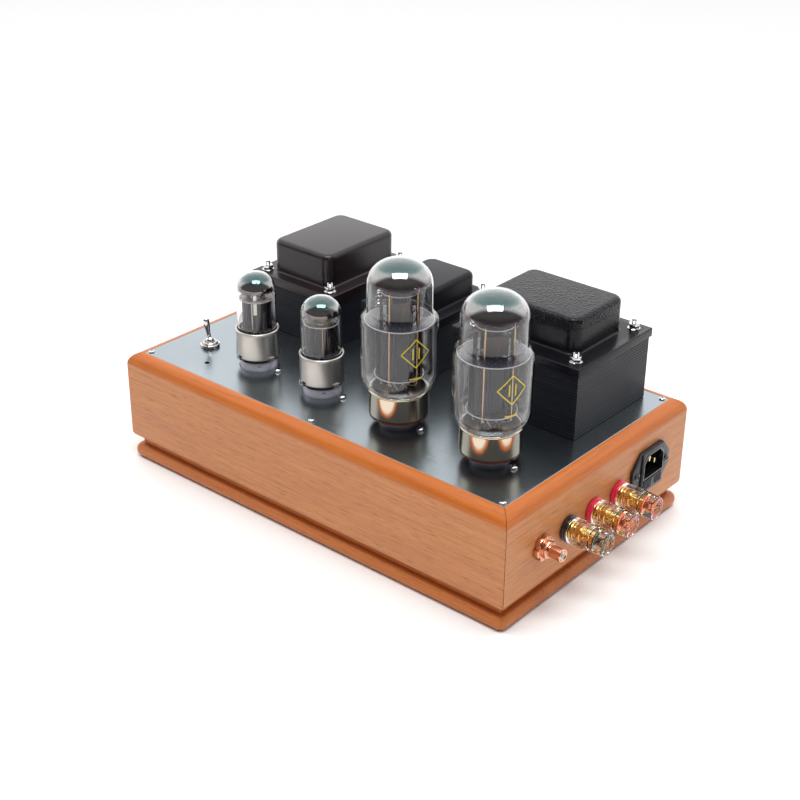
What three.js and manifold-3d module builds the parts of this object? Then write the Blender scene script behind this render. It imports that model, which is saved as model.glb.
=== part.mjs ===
// A single-ended valve amplifier in a wooden cabinet: four plug-in valves in a row, three
// transformers behind them, a toggle switch on the deck, and the inlet, speaker posts and
// signal jack on one end. Millimetres, +Z up, origin at the centre of the underside.
// +X runs along the cabinet towards the connector end, -Y faces the side with the valves.
import * as THREE from "three";
import { mergeVertices } from "three/addons/utils/BufferGeometryUtils.js";
import Module from "manifold-3d";

const wasm = await Module();
wasm.setup();

// ---- Driving dimensions ----
const GAP = 0.3; // air left between pieces that touch
const PAST = 1; // how far a cutting solid runs past the faces that it cuts
const LAP = 0.5; // how far two solids of one piece run into each other
const HOLE_CLEARANCE = 0.5; // round what passes through a board or the deck

// Cabinet
const CABINET_LENGTH = 351.4;
const CABINET_WIDTH = 211.9;
const DECK_HEIGHT = 86.5; // top face of the metal deck plate
const BASE_THICKNESS = 10.5;
const BASE_NOSE = 4.8; // radius of the base board's rounded edge
const BASE_CORNER = 5.8; // radius of its corners seen from above
const GROOVE_HEIGHT = 5.8; // shadow groove between the base board and the side boards
const GROOVE_DEPTH = 6;
const BOARD_THICKNESS = 15;
const BOARD_TOP_RADIUS = 9.4;
const BOARD_BOTTOM_RADIUS = 5;
const DECK_THICKNESS = 2;

// Valve row
const VALVE_ROW_INSET = 51.95; // from the front board's outer face
const DRIVER_VALVE_X = [-89.4, -26];
const OUTPUT_VALVE_X = [44.8, 122.4];
const SOCKET_RADIUS = 13.5;
const SOCKET_HEIGHT = 6; // above the deck
const SOCKET_DEPTH = 14; // below the deck's top face
const SOCKET_SCREW_SPACING = 38;
const SADDLE_THICKNESS = 1.5;
const SADDLE_END = 4.5; // saddle metal beyond each screw
const SADDLE_WIDTH = 30;
const SADDLE_CORNER = 12;
const SADDLE_HOLE_RADIUS = 1.6;
const PIN_COUNT = 8;
const PIN_CIRCLE_RADIUS = 8.73;
const PIN_RADIUS = 1.2;
const PIN_LENGTH = 11;
const SPIGOT_RADIUS = 3.9;
const SPIGOT_LENGTH = 12;
const KEY_WIDTH = 1.8;
const KEY_PROUD = 1.1;
const VALVE_LIFT_CLEARANCE = 0.4;

const OUTPUT_VALVE = {
  baseRadius: 20.5,
  waferRadius: 20.2,
  waferHeight: 3,
  baseHeight: 20.7,
  sleeveWall: 0.9,
  neckClearance: 0.7, // glass inside the sleeve
  bulbRadius: 26,
  crownRadius: 22,
  bulbStart: 10.5, // above the base's top: where the bulb reaches its full radius
  bulbEnd: 50, // above the base's top: where the shoulder starts
  shoulderHeight: 7,
  domeHeight: 17,
  height: 112.1, // from the seat on the socket to the top of the glass
  anode: { width: 31, depth: 21, corner: 7, bottom: 9.5, top: 50 },
  discClearance: 4.8, // round the insulating discs
  stemRadius: 7,
  crownRods: 13,
};
const DRIVER_VALVE = {
  baseRadius: 15.5,
  waferRadius: 16.2,
  waferHeight: 2.2,
  baseHeight: 23.7,
  sleeveWall: 0.9,
  neckClearance: 1,
  bulbRadius: 14.2,
  crownRadius: 14,
  bulbStart: 2,
  bulbEnd: 26,
  shoulderHeight: 3,
  domeHeight: 12,
  height: 65.7,
  anode: { width: 15, depth: 11, corner: 3.5, bottom: 2.5, top: 24 },
  discClearance: 1.4,
  stemRadius: 5,
  crownRods: 7,
};
const GLASS_WALL = 1.2;
const BULB_NECK = 0.5; // straight glass above the base's rim
const BULB_FOOT = 4; // lowest glass, above the wafer
const BASE_FLOOR = 1.5;
const DISC_THICKNESS = 0.8;
const ANODE_WALL = 1;
const ANODE_WINDOW = 5;
const STEM_FOOT = 2; // lowest point of the electrodes, above the wafer
const SUPPORT_ROD_RADIUS = 1;
const CROSSBAR = { width: 4, thickness: 1 };

// Transformers: square-cornered stacks of three-leg plates, each with a coil and a top cover
const TRANSFORMER_INSET = 46.75; // centre line from the back board's inner face
const POWER_TRANSFORMER = {
  name: "power_transformer",
  x: 98.9,
  long: 105, // plate size across the three legs
  short: 87.5, // plate size along the legs
  longAlongX: true,
  stack: 51.5,
  capLong: 78,
  capShort: 58,
  capHeight: 25.2,
  coilOverhang: 16.5,
  separateBolts: true,
  separateCoil: true,
};
const OUTPUT_TRANSFORMER = {
  name: "output_transformer",
  x: -103.6,
  long: 96,
  short: 80,
  longAlongX: false,
  stack: 41.7,
  capLong: 76,
  capShort: 58,
  capHeight: 25,
  coilOverhang: 15,
  separateBolts: true,
  separateCoil: true,
};
const CHOKE = {
  name: "choke",
  x: -10.2,
  long: 76.2,
  short: 63.5,
  longAlongX: false,
  stack: 42.5,
  capLong: 57,
  capShort: 44,
  capHeight: 17.5,
  coilOverhang: 11.5,
  separateBolts: false,
  separateCoil: false,
};
const STACK_TRIM = 1.6; // the stack is this much smaller than the nominal plate
const COVER_SHEET = 1.2;
const COVER_SKIRT = 4.5;
const CAP_CORNER_RADIUS = 8;
const CAP_EDGE_RADIUS = 4;
const COIL_CLEARANCE = 0.6;
const BOLT_RADIUS = 2;
const BOLT_HOLE_RADIUS = 2.7;
const WASHER_RADIUS = 4.5;
const WASHER_THICKNESS = 0.8;
const NUT_RADIUS = 4.04;
const NUT_HEIGHT = 3.2;
const BOLT_END = 3.2; // thread left standing past each nut

// Toggle switch
const SWITCH_X = -138;
const SWITCH_Y = -56.5;
const BUSHING_RADIUS = 5.9;
const BUSHING_HEIGHT = 4; // above the deck
const SWITCH_CASE = { width: 13, depth: 13, height: 18, below: 1 };
const SWITCH_NUT_WALL = 1.1;
const SWITCH_NUT_HEIGHT = 2.4;
const RIM_CHAMFER = 0.8; // on the switch nut and the speaker posts' collars
const BALL_SEAT_DEPTH = 4; // bushing bore below the case's top
const LEVER_BALL_RADIUS = 3.2;
const LEVER_ROOT_RADIUS = 1.5;
const LEVER_TIP_RADIUS = 2.4;
const LEVER_LENGTH = 18.4; // pivot to tip
const LEVER_TIP_LENGTH = 3; // of its fullest part and rounded end
const LEVER_TIP_ROUND = 1.2;
const LEVER_TILT = THREE.MathUtils.degToRad(12); // each side of upright

// Connectors on the +X end
const CONNECTOR_DROP = 38.3; // below the deck
const CONNECTOR_PITCH = 29.2;
const JACK_INSET = 38.35; // from the front board's outer face
const POST_COUNT = 3;
const INLET_INSET = 47.35; // from the back board's outer face
const INLET_DROP = 34.3; // below the deck

const COLLAR_RADIUS = 9.2;
const COLLAR_THICKNESS = 4;
const STUD_RADIUS = 2.9;
const STUD_SETBACK = 1.5; // stud's end short of its insert's end
const STUD_TAIL = 10; // inside the cabinet
const SHOULDER_STEP = 0.2; // stud's shoulder beyond the insert's radius
const SHOULDER_LENGTH = 3.6;
const INSERT_RADIUS = 5.4;
const INSERT_LENGTH = 11;
const POST_CAP_RADIUS = 9;
const POST_CAP_NOSE_RADIUS = 8.2;
const POST_LENGTH = 31.5; // board to the end of the cap
const POST_NOSE_LENGTH = 4;
const BANANA_RADIUS = 2;
const REAR_NUT_RADIUS = 6.2;
const REAR_NUT_HEIGHT = 3.5;

const JACK_FLANGE_RADIUS = 9;
const JACK_FLANGE_THICKNESS = 3.6;
const JACK_NECK_RADIUS = 6;
const JACK_NECK_LENGTH = 3.4;
const JACK_BARREL_RADIUS = 4.15;
const JACK_LENGTH = 17.3;
const JACK_BORE_RADIUS = 1.6;
const JACK_BORE_DEPTH = 12;
const JACK_NOTCHES = 6;
const JACK_NOTCH_RADIUS = 1.5;
const JACK_TAIL_RADIUS = 4;

const INLET = {
  blockWidth: 27,
  blockHeight: 31.4,
  proud: 4, // block in front of the board
  earThickness: 2.2,
  earSpan: 47,
  earHeight: 10,
  bodyDepth: 24, // behind the board's outer face
  rearInset: 0.7, // rear part's sides inside the block's sides
  recessWidth: 23.6,
  recessHeight: 17,
  recessDepth: 17,
  recessCentre: 4.2, // above the inlet's centre
  recessChamfer: 5,
  pinSpacing: 14,
  pinThickness: 2,
  pinHeight: 4,
  pinOffset: 2, // earth pin above the recess centre, the other two below it
  pinInset: 3, // pin tips behind the rim
  contactBlockDepth: 3,
  drawerWidth: 22.8,
  drawerHeight: 7.6,
  drawerDepth: 20.4,
  drawerCentre: -10, // below the inlet's centre
  drawerProud: 0.6,
};
const FUSE_RADIUS = 2.5;
const FUSE_LENGTH = 20;
const FUSE_INSET = 16; // fuse centre behind the drawer's face

// Inside the cabinet
const MAIN_BOARD = { x: 20, y: 20, length: 150, width: 90, thickness: 1.6, height: 8 };
const PILLAR_RADIUS = 3;
const PILLAR_INSET = 6;
const CAPACITOR = { x: -105, y: 40, radius: 17.5, length: 50 };

// ---- Sizes that follow from the ones above ----
const HALF_LENGTH = CABINET_LENGTH / 2;
const HALF_WIDTH = CABINET_WIDTH / 2;
const BOARD_BOTTOM = BASE_THICKNESS + GROOVE_HEIGHT;
const PLINTH_TOP = BOARD_BOTTOM - GAP;
const DECK_INSET = BOARD_TOP_RADIUS + GAP;
const DECK_BOTTOM = DECK_HEIGHT - DECK_THICKNESS;
const VALVE_ROW_Y = VALVE_ROW_INSET - HALF_WIDTH;
const TRANSFORMER_Y = HALF_WIDTH - BOARD_THICKNESS - TRANSFORMER_INSET;
const SWITCH_NUT_RADIUS = BUSHING_RADIUS + GAP + SWITCH_NUT_WALL;
const CONNECTOR_HEIGHT = DECK_HEIGHT - CONNECTOR_DROP;
const JACK_Y = JACK_INSET - HALF_WIDTH;
const POST_Y = Array.from({ length: POST_COUNT }, (_, i) => JACK_Y + (i + 1) * CONNECTOR_PITCH);
const INLET_Y = HALF_WIDTH - INLET_INSET;
const INLET_HEIGHT = DECK_HEIGHT - INLET_DROP;
const SHOULDER_RADIUS = INSERT_RADIUS + SHOULDER_STEP;
const SEAT = SOCKET_HEIGHT + GAP; // where a valve base sits above the deck
const FINE = 16; // sides of a large round
const COARSE = 10; // sides of a middling round
const TINY = 6; // sides of a small round
const PIN_SIDES = 5;
const EDGE_STEPS = 2; // facets across a rounded edge
const BOARD_EDGE_STEPS = 5; // facets round a side board's edges
const BULB_STEPS = 3; // facets up each curve of a bulb
const BALL_STEPS = 5; // facets round the lever's ball
const WELD = 1e-4; // vertices nearer than this are one
const CORNER_STEPS = 2; // facets round a quarter corner

// ---- Solids ----
function solid(geometry) {
  const bare = geometry.clone();
  bare.deleteAttribute("normal");
  bare.deleteAttribute("uv");
  const merged = mergeVertices(bare, WELD);
  return new wasm.Manifold(
    new wasm.Mesh({
      numProp: 3,
      vertProperties: merged.getAttribute("position").array,
      triVerts: new Uint32Array(merged.index.array),
    }),
  );
}

function cut(body, ...tools) {
  return tools.reduce((rest, tool) => rest.subtract(tool), body);
}

function join(body, ...others) {
  return others.reduce((sum, other) => sum.add(other), body);
}

function mesh(name, body, material) {
  const made = body.getMesh();
  const geometry = new THREE.BufferGeometry();
  geometry.setAttribute("position", new THREE.BufferAttribute(made.vertProperties, 3));
  geometry.setIndex(new THREE.BufferAttribute(made.triVerts, 1));
  const faceted = geometry.toNonIndexed();
  faceted.computeVertexNormals();
  const piece = new THREE.Mesh(faceted, material);
  piece.name = name;
  return piece;
}

// A box from its two corners.
function block(x0, x1, y0, y1, z0, z1) {
  const geometry = new THREE.BoxGeometry(x1 - x0, y1 - y0, z1 - z0);
  geometry.translate((x0 + x1) / 2, (y0 + y1) / 2, (z0 + z1) / 2);
  return solid(geometry);
}

// A round bar along Z.
function rod(radius, z0, z1, sides = FINE, x = 0, y = 0) {
  const geometry = new THREE.CylinderGeometry(radius, radius, z1 - z0, sides);
  geometry.rotateX(Math.PI / 2);
  geometry.translate(x, y, (z0 + z1) / 2);
  return solid(geometry);
}

// A round bar along X, pointing outwards from the connector end.
function barX(radius, x0, x1, sides = FINE, y = 0, z = 0) {
  const geometry = new THREE.CylinderGeometry(radius, radius, x1 - x0, sides);
  geometry.rotateZ(-Math.PI / 2);
  geometry.translate((x0 + x1) / 2, y, z);
  return solid(geometry);
}

// A turned piece about Z from its [radius, height] outline.
function turned(outline, sides = FINE) {
  const points = outline.map(([radius, height]) => new THREE.Vector2(radius, height));
  const geometry = new THREE.LatheGeometry(points, sides);
  geometry.rotateX(Math.PI / 2);
  return solid(geometry);
}

// A turned piece about X from its [radius, distance] outline.
function turnedX(outline, sides = FINE) {
  const points = outline.map(([radius, distance]) => new THREE.Vector2(radius, distance));
  const geometry = new THREE.LatheGeometry(points, sides);
  geometry.rotateZ(-Math.PI / 2);
  return solid(geometry);
}

function polygon(points) {
  return new THREE.Shape(points.map(([x, y]) => new THREE.Vector2(x, y)));
}

function roundedRectangle(width, height, radius) {
  const x = width / 2 - radius;
  const y = height / 2 - radius;
  const shape = new THREE.Shape();
  shape.absarc(x, -y, radius, -Math.PI / 2, 0, false);
  shape.absarc(x, y, radius, 0, Math.PI / 2, false);
  shape.absarc(-x, y, radius, Math.PI / 2, Math.PI, false);
  shape.absarc(-x, -y, radius, Math.PI, 1.5 * Math.PI, false);
  shape.closePath();
  return shape;
}

// A plan shape raised along Z.
function raised(shape, z0, z1, curveSegments = CORNER_STEPS) {
  const geometry = new THREE.ExtrudeGeometry(shape, {
    depth: z1 - z0,
    bevelEnabled: false,
    curveSegments,
  });
  geometry.translate(0, 0, z0);
  return solid(geometry);
}

// A shape drawn in (y, z) and run along X.
function runX(shape, x0, x1, curveSegments = CORNER_STEPS) {
  const geometry = new THREE.ExtrudeGeometry(shape, {
    depth: x1 - x0,
    bevelEnabled: false,
    curveSegments,
  });
  const toX = new THREE.Matrix4().makeBasis(
    new THREE.Vector3(0, 1, 0),
    new THREE.Vector3(0, 0, 1),
    new THREE.Vector3(1, 0, 0),
  );
  geometry.applyMatrix4(toX);
  geometry.translate(x0, 0, 0);
  return solid(geometry);
}

// A rounded rectangle with its top (and bottom) edges rounded too.
function pillow(width, depth, cornerRadius, edgeRadius, z0, z1) {
  const inner = roundedRectangle(
    width - 2 * edgeRadius,
    depth - 2 * edgeRadius,
    cornerRadius - edgeRadius,
  );
  const geometry = new THREE.ExtrudeGeometry(inner, {
    depth: z1 - z0 - 2 * edgeRadius,
    bevelThickness: edgeRadius,
    bevelSize: edgeRadius,
    bevelSegments: EDGE_STEPS,
    curveSegments: CORNER_STEPS,
  });
  geometry.translate(0, 0, z0 + edgeRadius);
  return solid(geometry);
}

// ---- Materials ----
function finish(color, roughness, metalness) {
  return new THREE.MeshStandardMaterial({ color, roughness, metalness });
}

const wood = finish(0xb5784a, 0.45, 0);
const steel = finish(0xb9c0c4, 0.15, 1);
const chrome = finish(0xdedede, 0.1, 1);
const nickel = finish(0xcfc8ba, 0.2, 1);
const blackPaint = finish(0x17171a, 0.35, 0.3);
const brownPaint = finish(0x2b2223, 0.4, 0.3);
const lamination = finish(0x1c1d22, 0.5, 0.6);
const copperWire = finish(0x9a4f2a, 0.4, 0.6);
const ceramic = finish(0xc9c4cf, 0.5, 0);
const glass = finish(0xdfe8ea, 0.05, 0);
const anodeGrey = finish(0x4b4c52, 0.6, 0.4);
const gold = finish(0xd9a441, 0.2, 1);
const roseGold = finish(0xd08a63, 0.25, 1);
const blackPlastic = finish(0x1b1c20, 0.4, 0);
const redPlastic = finish(0xc11a2b, 0.35, 0);
const clearPlastic = finish(0xf2efe6, 0.08, 0);
const brass = finish(0xc9b26a, 0.3, 1);
const boardGreen = finish(0x2d5b3a, 0.6, 0);
const sleeveBlue = finish(0x27406b, 0.5, 0);

const amplifier = new THREE.Group();

// ---- Cabinet ----
function baseBoard() {
  const slab = pillow(
    CABINET_LENGTH,
    CABINET_WIDTH,
    BASE_CORNER,
    BASE_NOSE,
    0,
    BASE_THICKNESS,
  );
  const plinthX = HALF_LENGTH - GROOVE_DEPTH;
  const plinthY = HALF_WIDTH - GROOVE_DEPTH;
  const plinth = block(-plinthX, plinthX, -plinthY, plinthY, BASE_THICKNESS / 2, PLINTH_TOP);
  return mesh("base_board", join(slab, plinth), wood);
}

// The side boards' section, from the outer face (0) inwards: a rounded lower edge, a rebate
// that carries the deck plate, and a large rounded upper edge.
function boardSection() {
  const shape = new THREE.Shape();
  const ledge = DECK_BOTTOM - GAP;
  shape.moveTo(BOARD_THICKNESS, BOARD_BOTTOM);
  shape.lineTo(BOARD_THICKNESS, ledge);
  shape.lineTo(BOARD_TOP_RADIUS, ledge);
  shape.lineTo(BOARD_TOP_RADIUS, DECK_HEIGHT);
  shape.absarc(
    BOARD_TOP_RADIUS,
    DECK_HEIGHT - BOARD_TOP_RADIUS,
    BOARD_TOP_RADIUS,
    Math.PI / 2,
    Math.PI,
    false,
  );
  shape.absarc(
    BOARD_BOTTOM_RADIUS,
    BOARD_BOTTOM + BOARD_BOTTOM_RADIUS,
    BOARD_BOTTOM_RADIUS,
    Math.PI,
    1.5 * Math.PI,
    false,
  );
  shape.closePath();
  return shape;
}

// A board along X with its outer face at y = 0 looking to -Y, mitred at both ends.
function mitredBoard(length) {
  const bar = runX(boardSection(), 0, length, BOARD_EDGE_STEPS);
  const trim = GAP / Math.SQRT2;
  const reach = BOARD_THICKNESS + PAST;
  const wedge = polygon([
    [trim - PAST, -PAST],
    [length - trim + PAST, -PAST],
    [length - trim - reach, reach],
    [trim + reach, reach],
  ]);
  return bar.intersect(raised(wedge, 0, DECK_HEIGHT + PAST));
}

function placeBoard(name, body, x, y, turn) {
  const piece = mesh(name, body, wood);
  piece.position.set(x, y, 0);
  piece.rotation.z = turn;
  amplifier.add(piece);
}

// Holes in the connector board, in the board's own frame: along it is y + half the width.
function connectorHoles() {
  const holes = [];
  const roundHole = (y, radius) => {
    const geometry = new THREE.CylinderGeometry(radius, radius, 3 * BOARD_THICKNESS, COARSE);
    geometry.translate(y + HALF_WIDTH, 0, CONNECTOR_HEIGHT);
    holes.push(solid(geometry));
  };
  roundHole(JACK_Y, JACK_TAIL_RADIUS + HOLE_CLEARANCE);
  for (const y of POST_Y) roundHole(y, STUD_RADIUS + HOLE_CLEARANCE);
  const halfWidth = INLET.blockWidth / 2 - INLET.rearInset + HOLE_CLEARANCE;
  const halfHeight = INLET.blockHeight / 2 - INLET.rearInset + HOLE_CLEARANCE;
  const centre = INLET_Y + HALF_WIDTH;
  holes.push(
    block(
      centre - halfWidth,
      centre + halfWidth,
      -BOARD_THICKNESS,
      2 * BOARD_THICKNESS,
      INLET_HEIGHT - halfHeight,
      INLET_HEIGHT + halfHeight,
    ),
  );
  return holes;
}

function deckPlate() {
  const halfX = HALF_LENGTH - DECK_INSET;
  const halfY = HALF_WIDTH - DECK_INSET;
  const low = DECK_BOTTOM - PAST;
  const high = DECK_HEIGHT + PAST;
  const holes = [];
  for (const x of [...DRIVER_VALVE_X, ...OUTPUT_VALVE_X]) {
    holes.push(rod(SOCKET_RADIUS + HOLE_CLEARANCE, low, high, FINE, x, VALVE_ROW_Y));
  }
  holes.push(rod(BUSHING_RADIUS + GAP, low, high, FINE, SWITCH_X, SWITCH_Y));
  for (const part of [POWER_TRANSFORMER, OUTPUT_TRANSFORMER, CHOKE]) {
    const coil = coilSize(part);
    const x = coil.halfX + COIL_CLEARANCE;
    const y = coil.halfY + COIL_CLEARANCE;
    holes.push(
      block(part.x - x, part.x + x, TRANSFORMER_Y - y, TRANSFORMER_Y + y, low, high),
    );
    for (const [boltX, boltY] of boltPlaces(part)) {
      holes.push(
        rod(BOLT_HOLE_RADIUS, low, high, TINY, part.x + boltX, TRANSFORMER_Y + boltY),
      );
    }
  }
  const plate = block(-halfX, halfX, -halfY, halfY, DECK_BOTTOM, DECK_HEIGHT);
  return mesh("deck_plate", cut(plate, ...holes), steel);
}

// ---- Valves and sockets, about their own axis, z = 0 on the deck ----
function pinPlaces() {
  const step = (2 * Math.PI) / PIN_COUNT;
  return Array.from({ length: PIN_COUNT }, (_, i) => [
    PIN_CIRCLE_RADIUS * Math.cos((i + 0.5) * step),
    PIN_CIRCLE_RADIUS * Math.sin((i + 0.5) * step),
  ]);
}

function keyBar(radius, width, z0, z1) {
  return block(0, radius, -width / 2, width / 2, z0, z1);
}

function socket(name) {
  const saddleTop = -DECK_THICKNESS - GAP;
  const saddleLength = SOCKET_SCREW_SPACING + 2 * SADDLE_END;
  const body = rod(SOCKET_RADIUS, -SOCKET_DEPTH, SOCKET_HEIGHT);
  const saddle = raised(
    roundedRectangle(saddleLength, SADDLE_WIDTH, SADDLE_CORNER),
    saddleTop - SADDLE_THICKNESS,
    saddleTop,
  );
  const low = -SOCKET_DEPTH - PAST;
  const high = SOCKET_HEIGHT + PAST;
  const spigotHole = rod(SPIGOT_RADIUS + VALVE_LIFT_CLEARANCE, low, high, COARSE);
  const keySlot = keyBar(
    SPIGOT_RADIUS + KEY_PROUD + VALVE_LIFT_CLEARANCE,
    KEY_WIDTH + 2 * VALVE_LIFT_CLEARANCE,
    low,
    high,
  );
  const pinHoles = pinPlaces().map(([x, y]) =>
    rod(PIN_RADIUS + VALVE_LIFT_CLEARANCE, low, high, PIN_SIDES, x, y),
  );
  const screwHoles = [-1, 1].map((side) => {
    const x = (side * SOCKET_SCREW_SPACING) / 2;
    const bottom = saddleTop - SADDLE_THICKNESS;
    return rod(SADDLE_HOLE_RADIUS, bottom - PAST, saddleTop + PAST, TINY, x);
  });
  const shape = cut(join(body, saddle), spigotHole, keySlot, ...pinHoles, ...screwHoles);
  return mesh(name, shape, ceramic);
}

function valveBase(name, size, material) {
  const wafer = SEAT + size.waferHeight;
  const floor = wafer + BASE_FLOOR;
  const top = SEAT + size.baseHeight;
  const inner = size.baseRadius - size.sleeveWall;
  const shell = turned([
    [0, SEAT],
    [size.waferRadius, SEAT],
    [size.waferRadius, wafer],
    [size.baseRadius, wafer],
    [size.baseRadius, top],
    [inner, top],
    [inner, floor],
    [0, floor],
  ]);
  const spigotEnd = SEAT - SPIGOT_LENGTH;
  const spigot = rod(SPIGOT_RADIUS, spigotEnd, SEAT + LAP, COARSE);
  const key = keyBar(SPIGOT_RADIUS + KEY_PROUD, KEY_WIDTH, spigotEnd, SEAT + LAP);
  const pins = pinPlaces().map(([x, y]) =>
    rod(PIN_RADIUS, SEAT - PIN_LENGTH, SEAT + LAP, PIN_SIDES, x, y),
  );
  return mesh(name, join(shell, spigot, key, ...pins), material);
}

// The bulb's outer outline, shrunk by an offset for the inner face.
function bulbOutline(size, offset) {
  const waistRadius = size.baseRadius - size.sleeveWall - size.neckClearance;
  const baseTop = SEAT + size.baseHeight;
  const neckTop = baseTop + BULB_NECK;
  const shoulder = baseTop + size.bulbEnd;
  const crownStart = shoulder + size.shoulderHeight;
  const top = SEAT + size.height;
  const outline = [
    [waistRadius - offset, SEAT + size.waferHeight + BULB_FOOT],
    [waistRadius - offset, neckTop],
  ];
  for (let i = 1; i <= BULB_STEPS; i += 1) {
    const angle = (i / BULB_STEPS) * (Math.PI / 2);
    const radius = waistRadius + (size.bulbRadius - waistRadius) * Math.sin(angle);
    outline.push([radius - offset, neckTop + size.bulbStart * (1 - Math.cos(angle))]);
  }
  outline.push([size.bulbRadius - offset, shoulder]);
  outline.push([(size.bulbRadius + size.crownRadius) / 2 - offset, (shoulder + crownStart) / 2]);
  outline.push([size.crownRadius - offset, crownStart]);
  for (let i = 0; i <= BULB_STEPS; i += 1) {
    const angle = (i / BULB_STEPS) * (Math.PI / 2);
    outline.push([
      (size.crownRadius - offset) * Math.cos(angle),
      top - offset - (size.domeHeight - offset) * (1 - Math.sin(angle)),
    ]);
  }
  outline[outline.length - 1][0] = 0;
  return outline;
}

function valveGlass(name, size) {
  const outer = bulbOutline(size, 0);
  const inner = bulbOutline(size, GLASS_WALL).reverse();
  return mesh(name, turned([...inner, ...outer], FINE), glass);
}

function valveElectrodes(name, size) {
  const { anode, stemRadius, crownRods } = size;
  const discRadius = size.bulbRadius - GLASS_WALL - size.discClearance;
  const baseTop = SEAT + size.baseHeight;
  const stemBottom = SEAT + size.waferHeight + STEM_FOOT;
  const low = baseTop + anode.bottom;
  const high = baseTop + anode.top;
  const stem = rod(stemRadius, stemBottom, low, TINY);
  const lowerDisc = rod(discRadius, low - DISC_THICKNESS, low + DISC_THICKNESS, COARSE);
  const plates = raised(roundedRectangle(anode.width, anode.depth, anode.corner), low, high);
  const hollow = raised(
    roundedRectangle(
      anode.width - 2 * ANODE_WALL,
      anode.depth - 2 * ANODE_WALL,
      anode.corner - ANODE_WALL,
    ),
    low + DISC_THICKNESS,
    high,
  );
  const window = block(
    -ANODE_WINDOW / 2,
    ANODE_WINDOW / 2,
    -anode.depth,
    anode.depth,
    (low + high - ANODE_WINDOW) / 2,
    (low + high + ANODE_WINDOW) / 2,
  );
  const upperDisc = rod(discRadius, high, high + DISC_THICKNESS, COARSE);
  const rods = [-1, 1].map((side) =>
    rod(SUPPORT_ROD_RADIUS, high, high + crownRods, TINY, (side * anode.width) / 4, 0),
  );
  const crossbar = block(
    -anode.width / 3,
    anode.width / 3,
    -CROSSBAR.width / 2,
    CROSSBAR.width / 2,
    high + crownRods - CROSSBAR.thickness,
    high + crownRods,
  );
  const box = cut(join(stem, lowerDisc, plates), hollow, window);
  return mesh(name, join(box, upperDisc, ...rods, crossbar), anodeGrey);
}

function addValve(kind, number, x, size, baseMaterial) {
  const place = new THREE.Group();
  place.position.set(x, VALVE_ROW_Y, DECK_HEIGHT);
  place.add(socket(`${kind}_socket_${number}`));
  place.add(valveBase(`${kind}_valve_${number}_base`, size, baseMaterial));
  place.add(valveGlass(`${kind}_valve_${number}_glass`, size));
  place.add(valveElectrodes(`${kind}_valve_${number}_electrodes`, size));
  amplifier.add(place);
}

// ---- Transformers, about the centre of the stack's underside, z = 0 on the deck ----
// Half sizes along X and Y from a pair given along the long and the short plate side.
function halves(part, long, short) {
  return part.longAlongX ? [long / 2, short / 2] : [short / 2, long / 2];
}

// A three-leg plate is six units across: legs of 1, 2 and 1 with two windows of 1 between.
function plateUnit(part) {
  return part.long / 6;
}

function windowLength(part) {
  return part.short - 2 * plateUnit(part);
}

function coilSize(part) {
  const across = 4 * plateUnit(part) - 2 * COIL_CLEARANCE;
  const along = windowLength(part) - 2 * COIL_CLEARANCE;
  const [halfX, halfY] = halves(part, across, along);
  return { halfX, halfY };
}

function boltPlaces(part) {
  const inset = plateUnit(part) / 2;
  const [x, y] = halves(part, part.long - 2 * inset, part.short - 2 * inset);
  return [
    [-x, -y],
    [x, -y],
    [x, y],
    [-x, y],
  ];
}

function stackTop(part) {
  return GAP + part.stack;
}

function core(part) {
  const top = stackTop(part);
  const [x, y] = halves(part, part.long - STACK_TRIM, part.short - STACK_TRIM);
  const unit = plateUnit(part);
  const windows = [-1, 1].map((side) => {
    const [windowX, windowY] = halves(part, unit, windowLength(part));
    const [shiftX, shiftY] = halves(part, 3 * unit * side, 0); // window centres, doubled
    return block(
      shiftX - windowX,
      shiftX + windowX,
      shiftY - windowY,
      shiftY + windowY,
      -PAST,
      top + PAST,
    );
  });
  const holes = boltPlaces(part).map(([boltX, boltY]) =>
    rod(BOLT_HOLE_RADIUS, -PAST, top + PAST, TINY, boltX, boltY),
  );
  const stack = block(-x, x, -y, y, GAP, top);
  return mesh(`${part.name}_core`, cut(stack, ...windows, ...holes), lamination);
}

function coil(part) {
  const { halfX, halfY } = coilSize(part);
  const top = stackTop(part);
  const legHalf = plateUnit(part) + COIL_CLEARANCE;
  const [holeX, holeY] = halves(part, 2 * legHalf, part.short);
  const winding = block(
    -halfX,
    halfX,
    -halfY,
    halfY,
    GAP - COIL_CLEARANCE - part.coilOverhang,
    top + COIL_CLEARANCE + part.coilOverhang,
  );
  const bobbinHole = block(
    -holeX,
    holeX,
    -holeY,
    holeY,
    GAP - COIL_CLEARANCE,
    top + COIL_CLEARANCE,
  );
  return mesh(`${part.name}_coil`, cut(winding, bobbinHole), copperWire);
}

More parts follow.
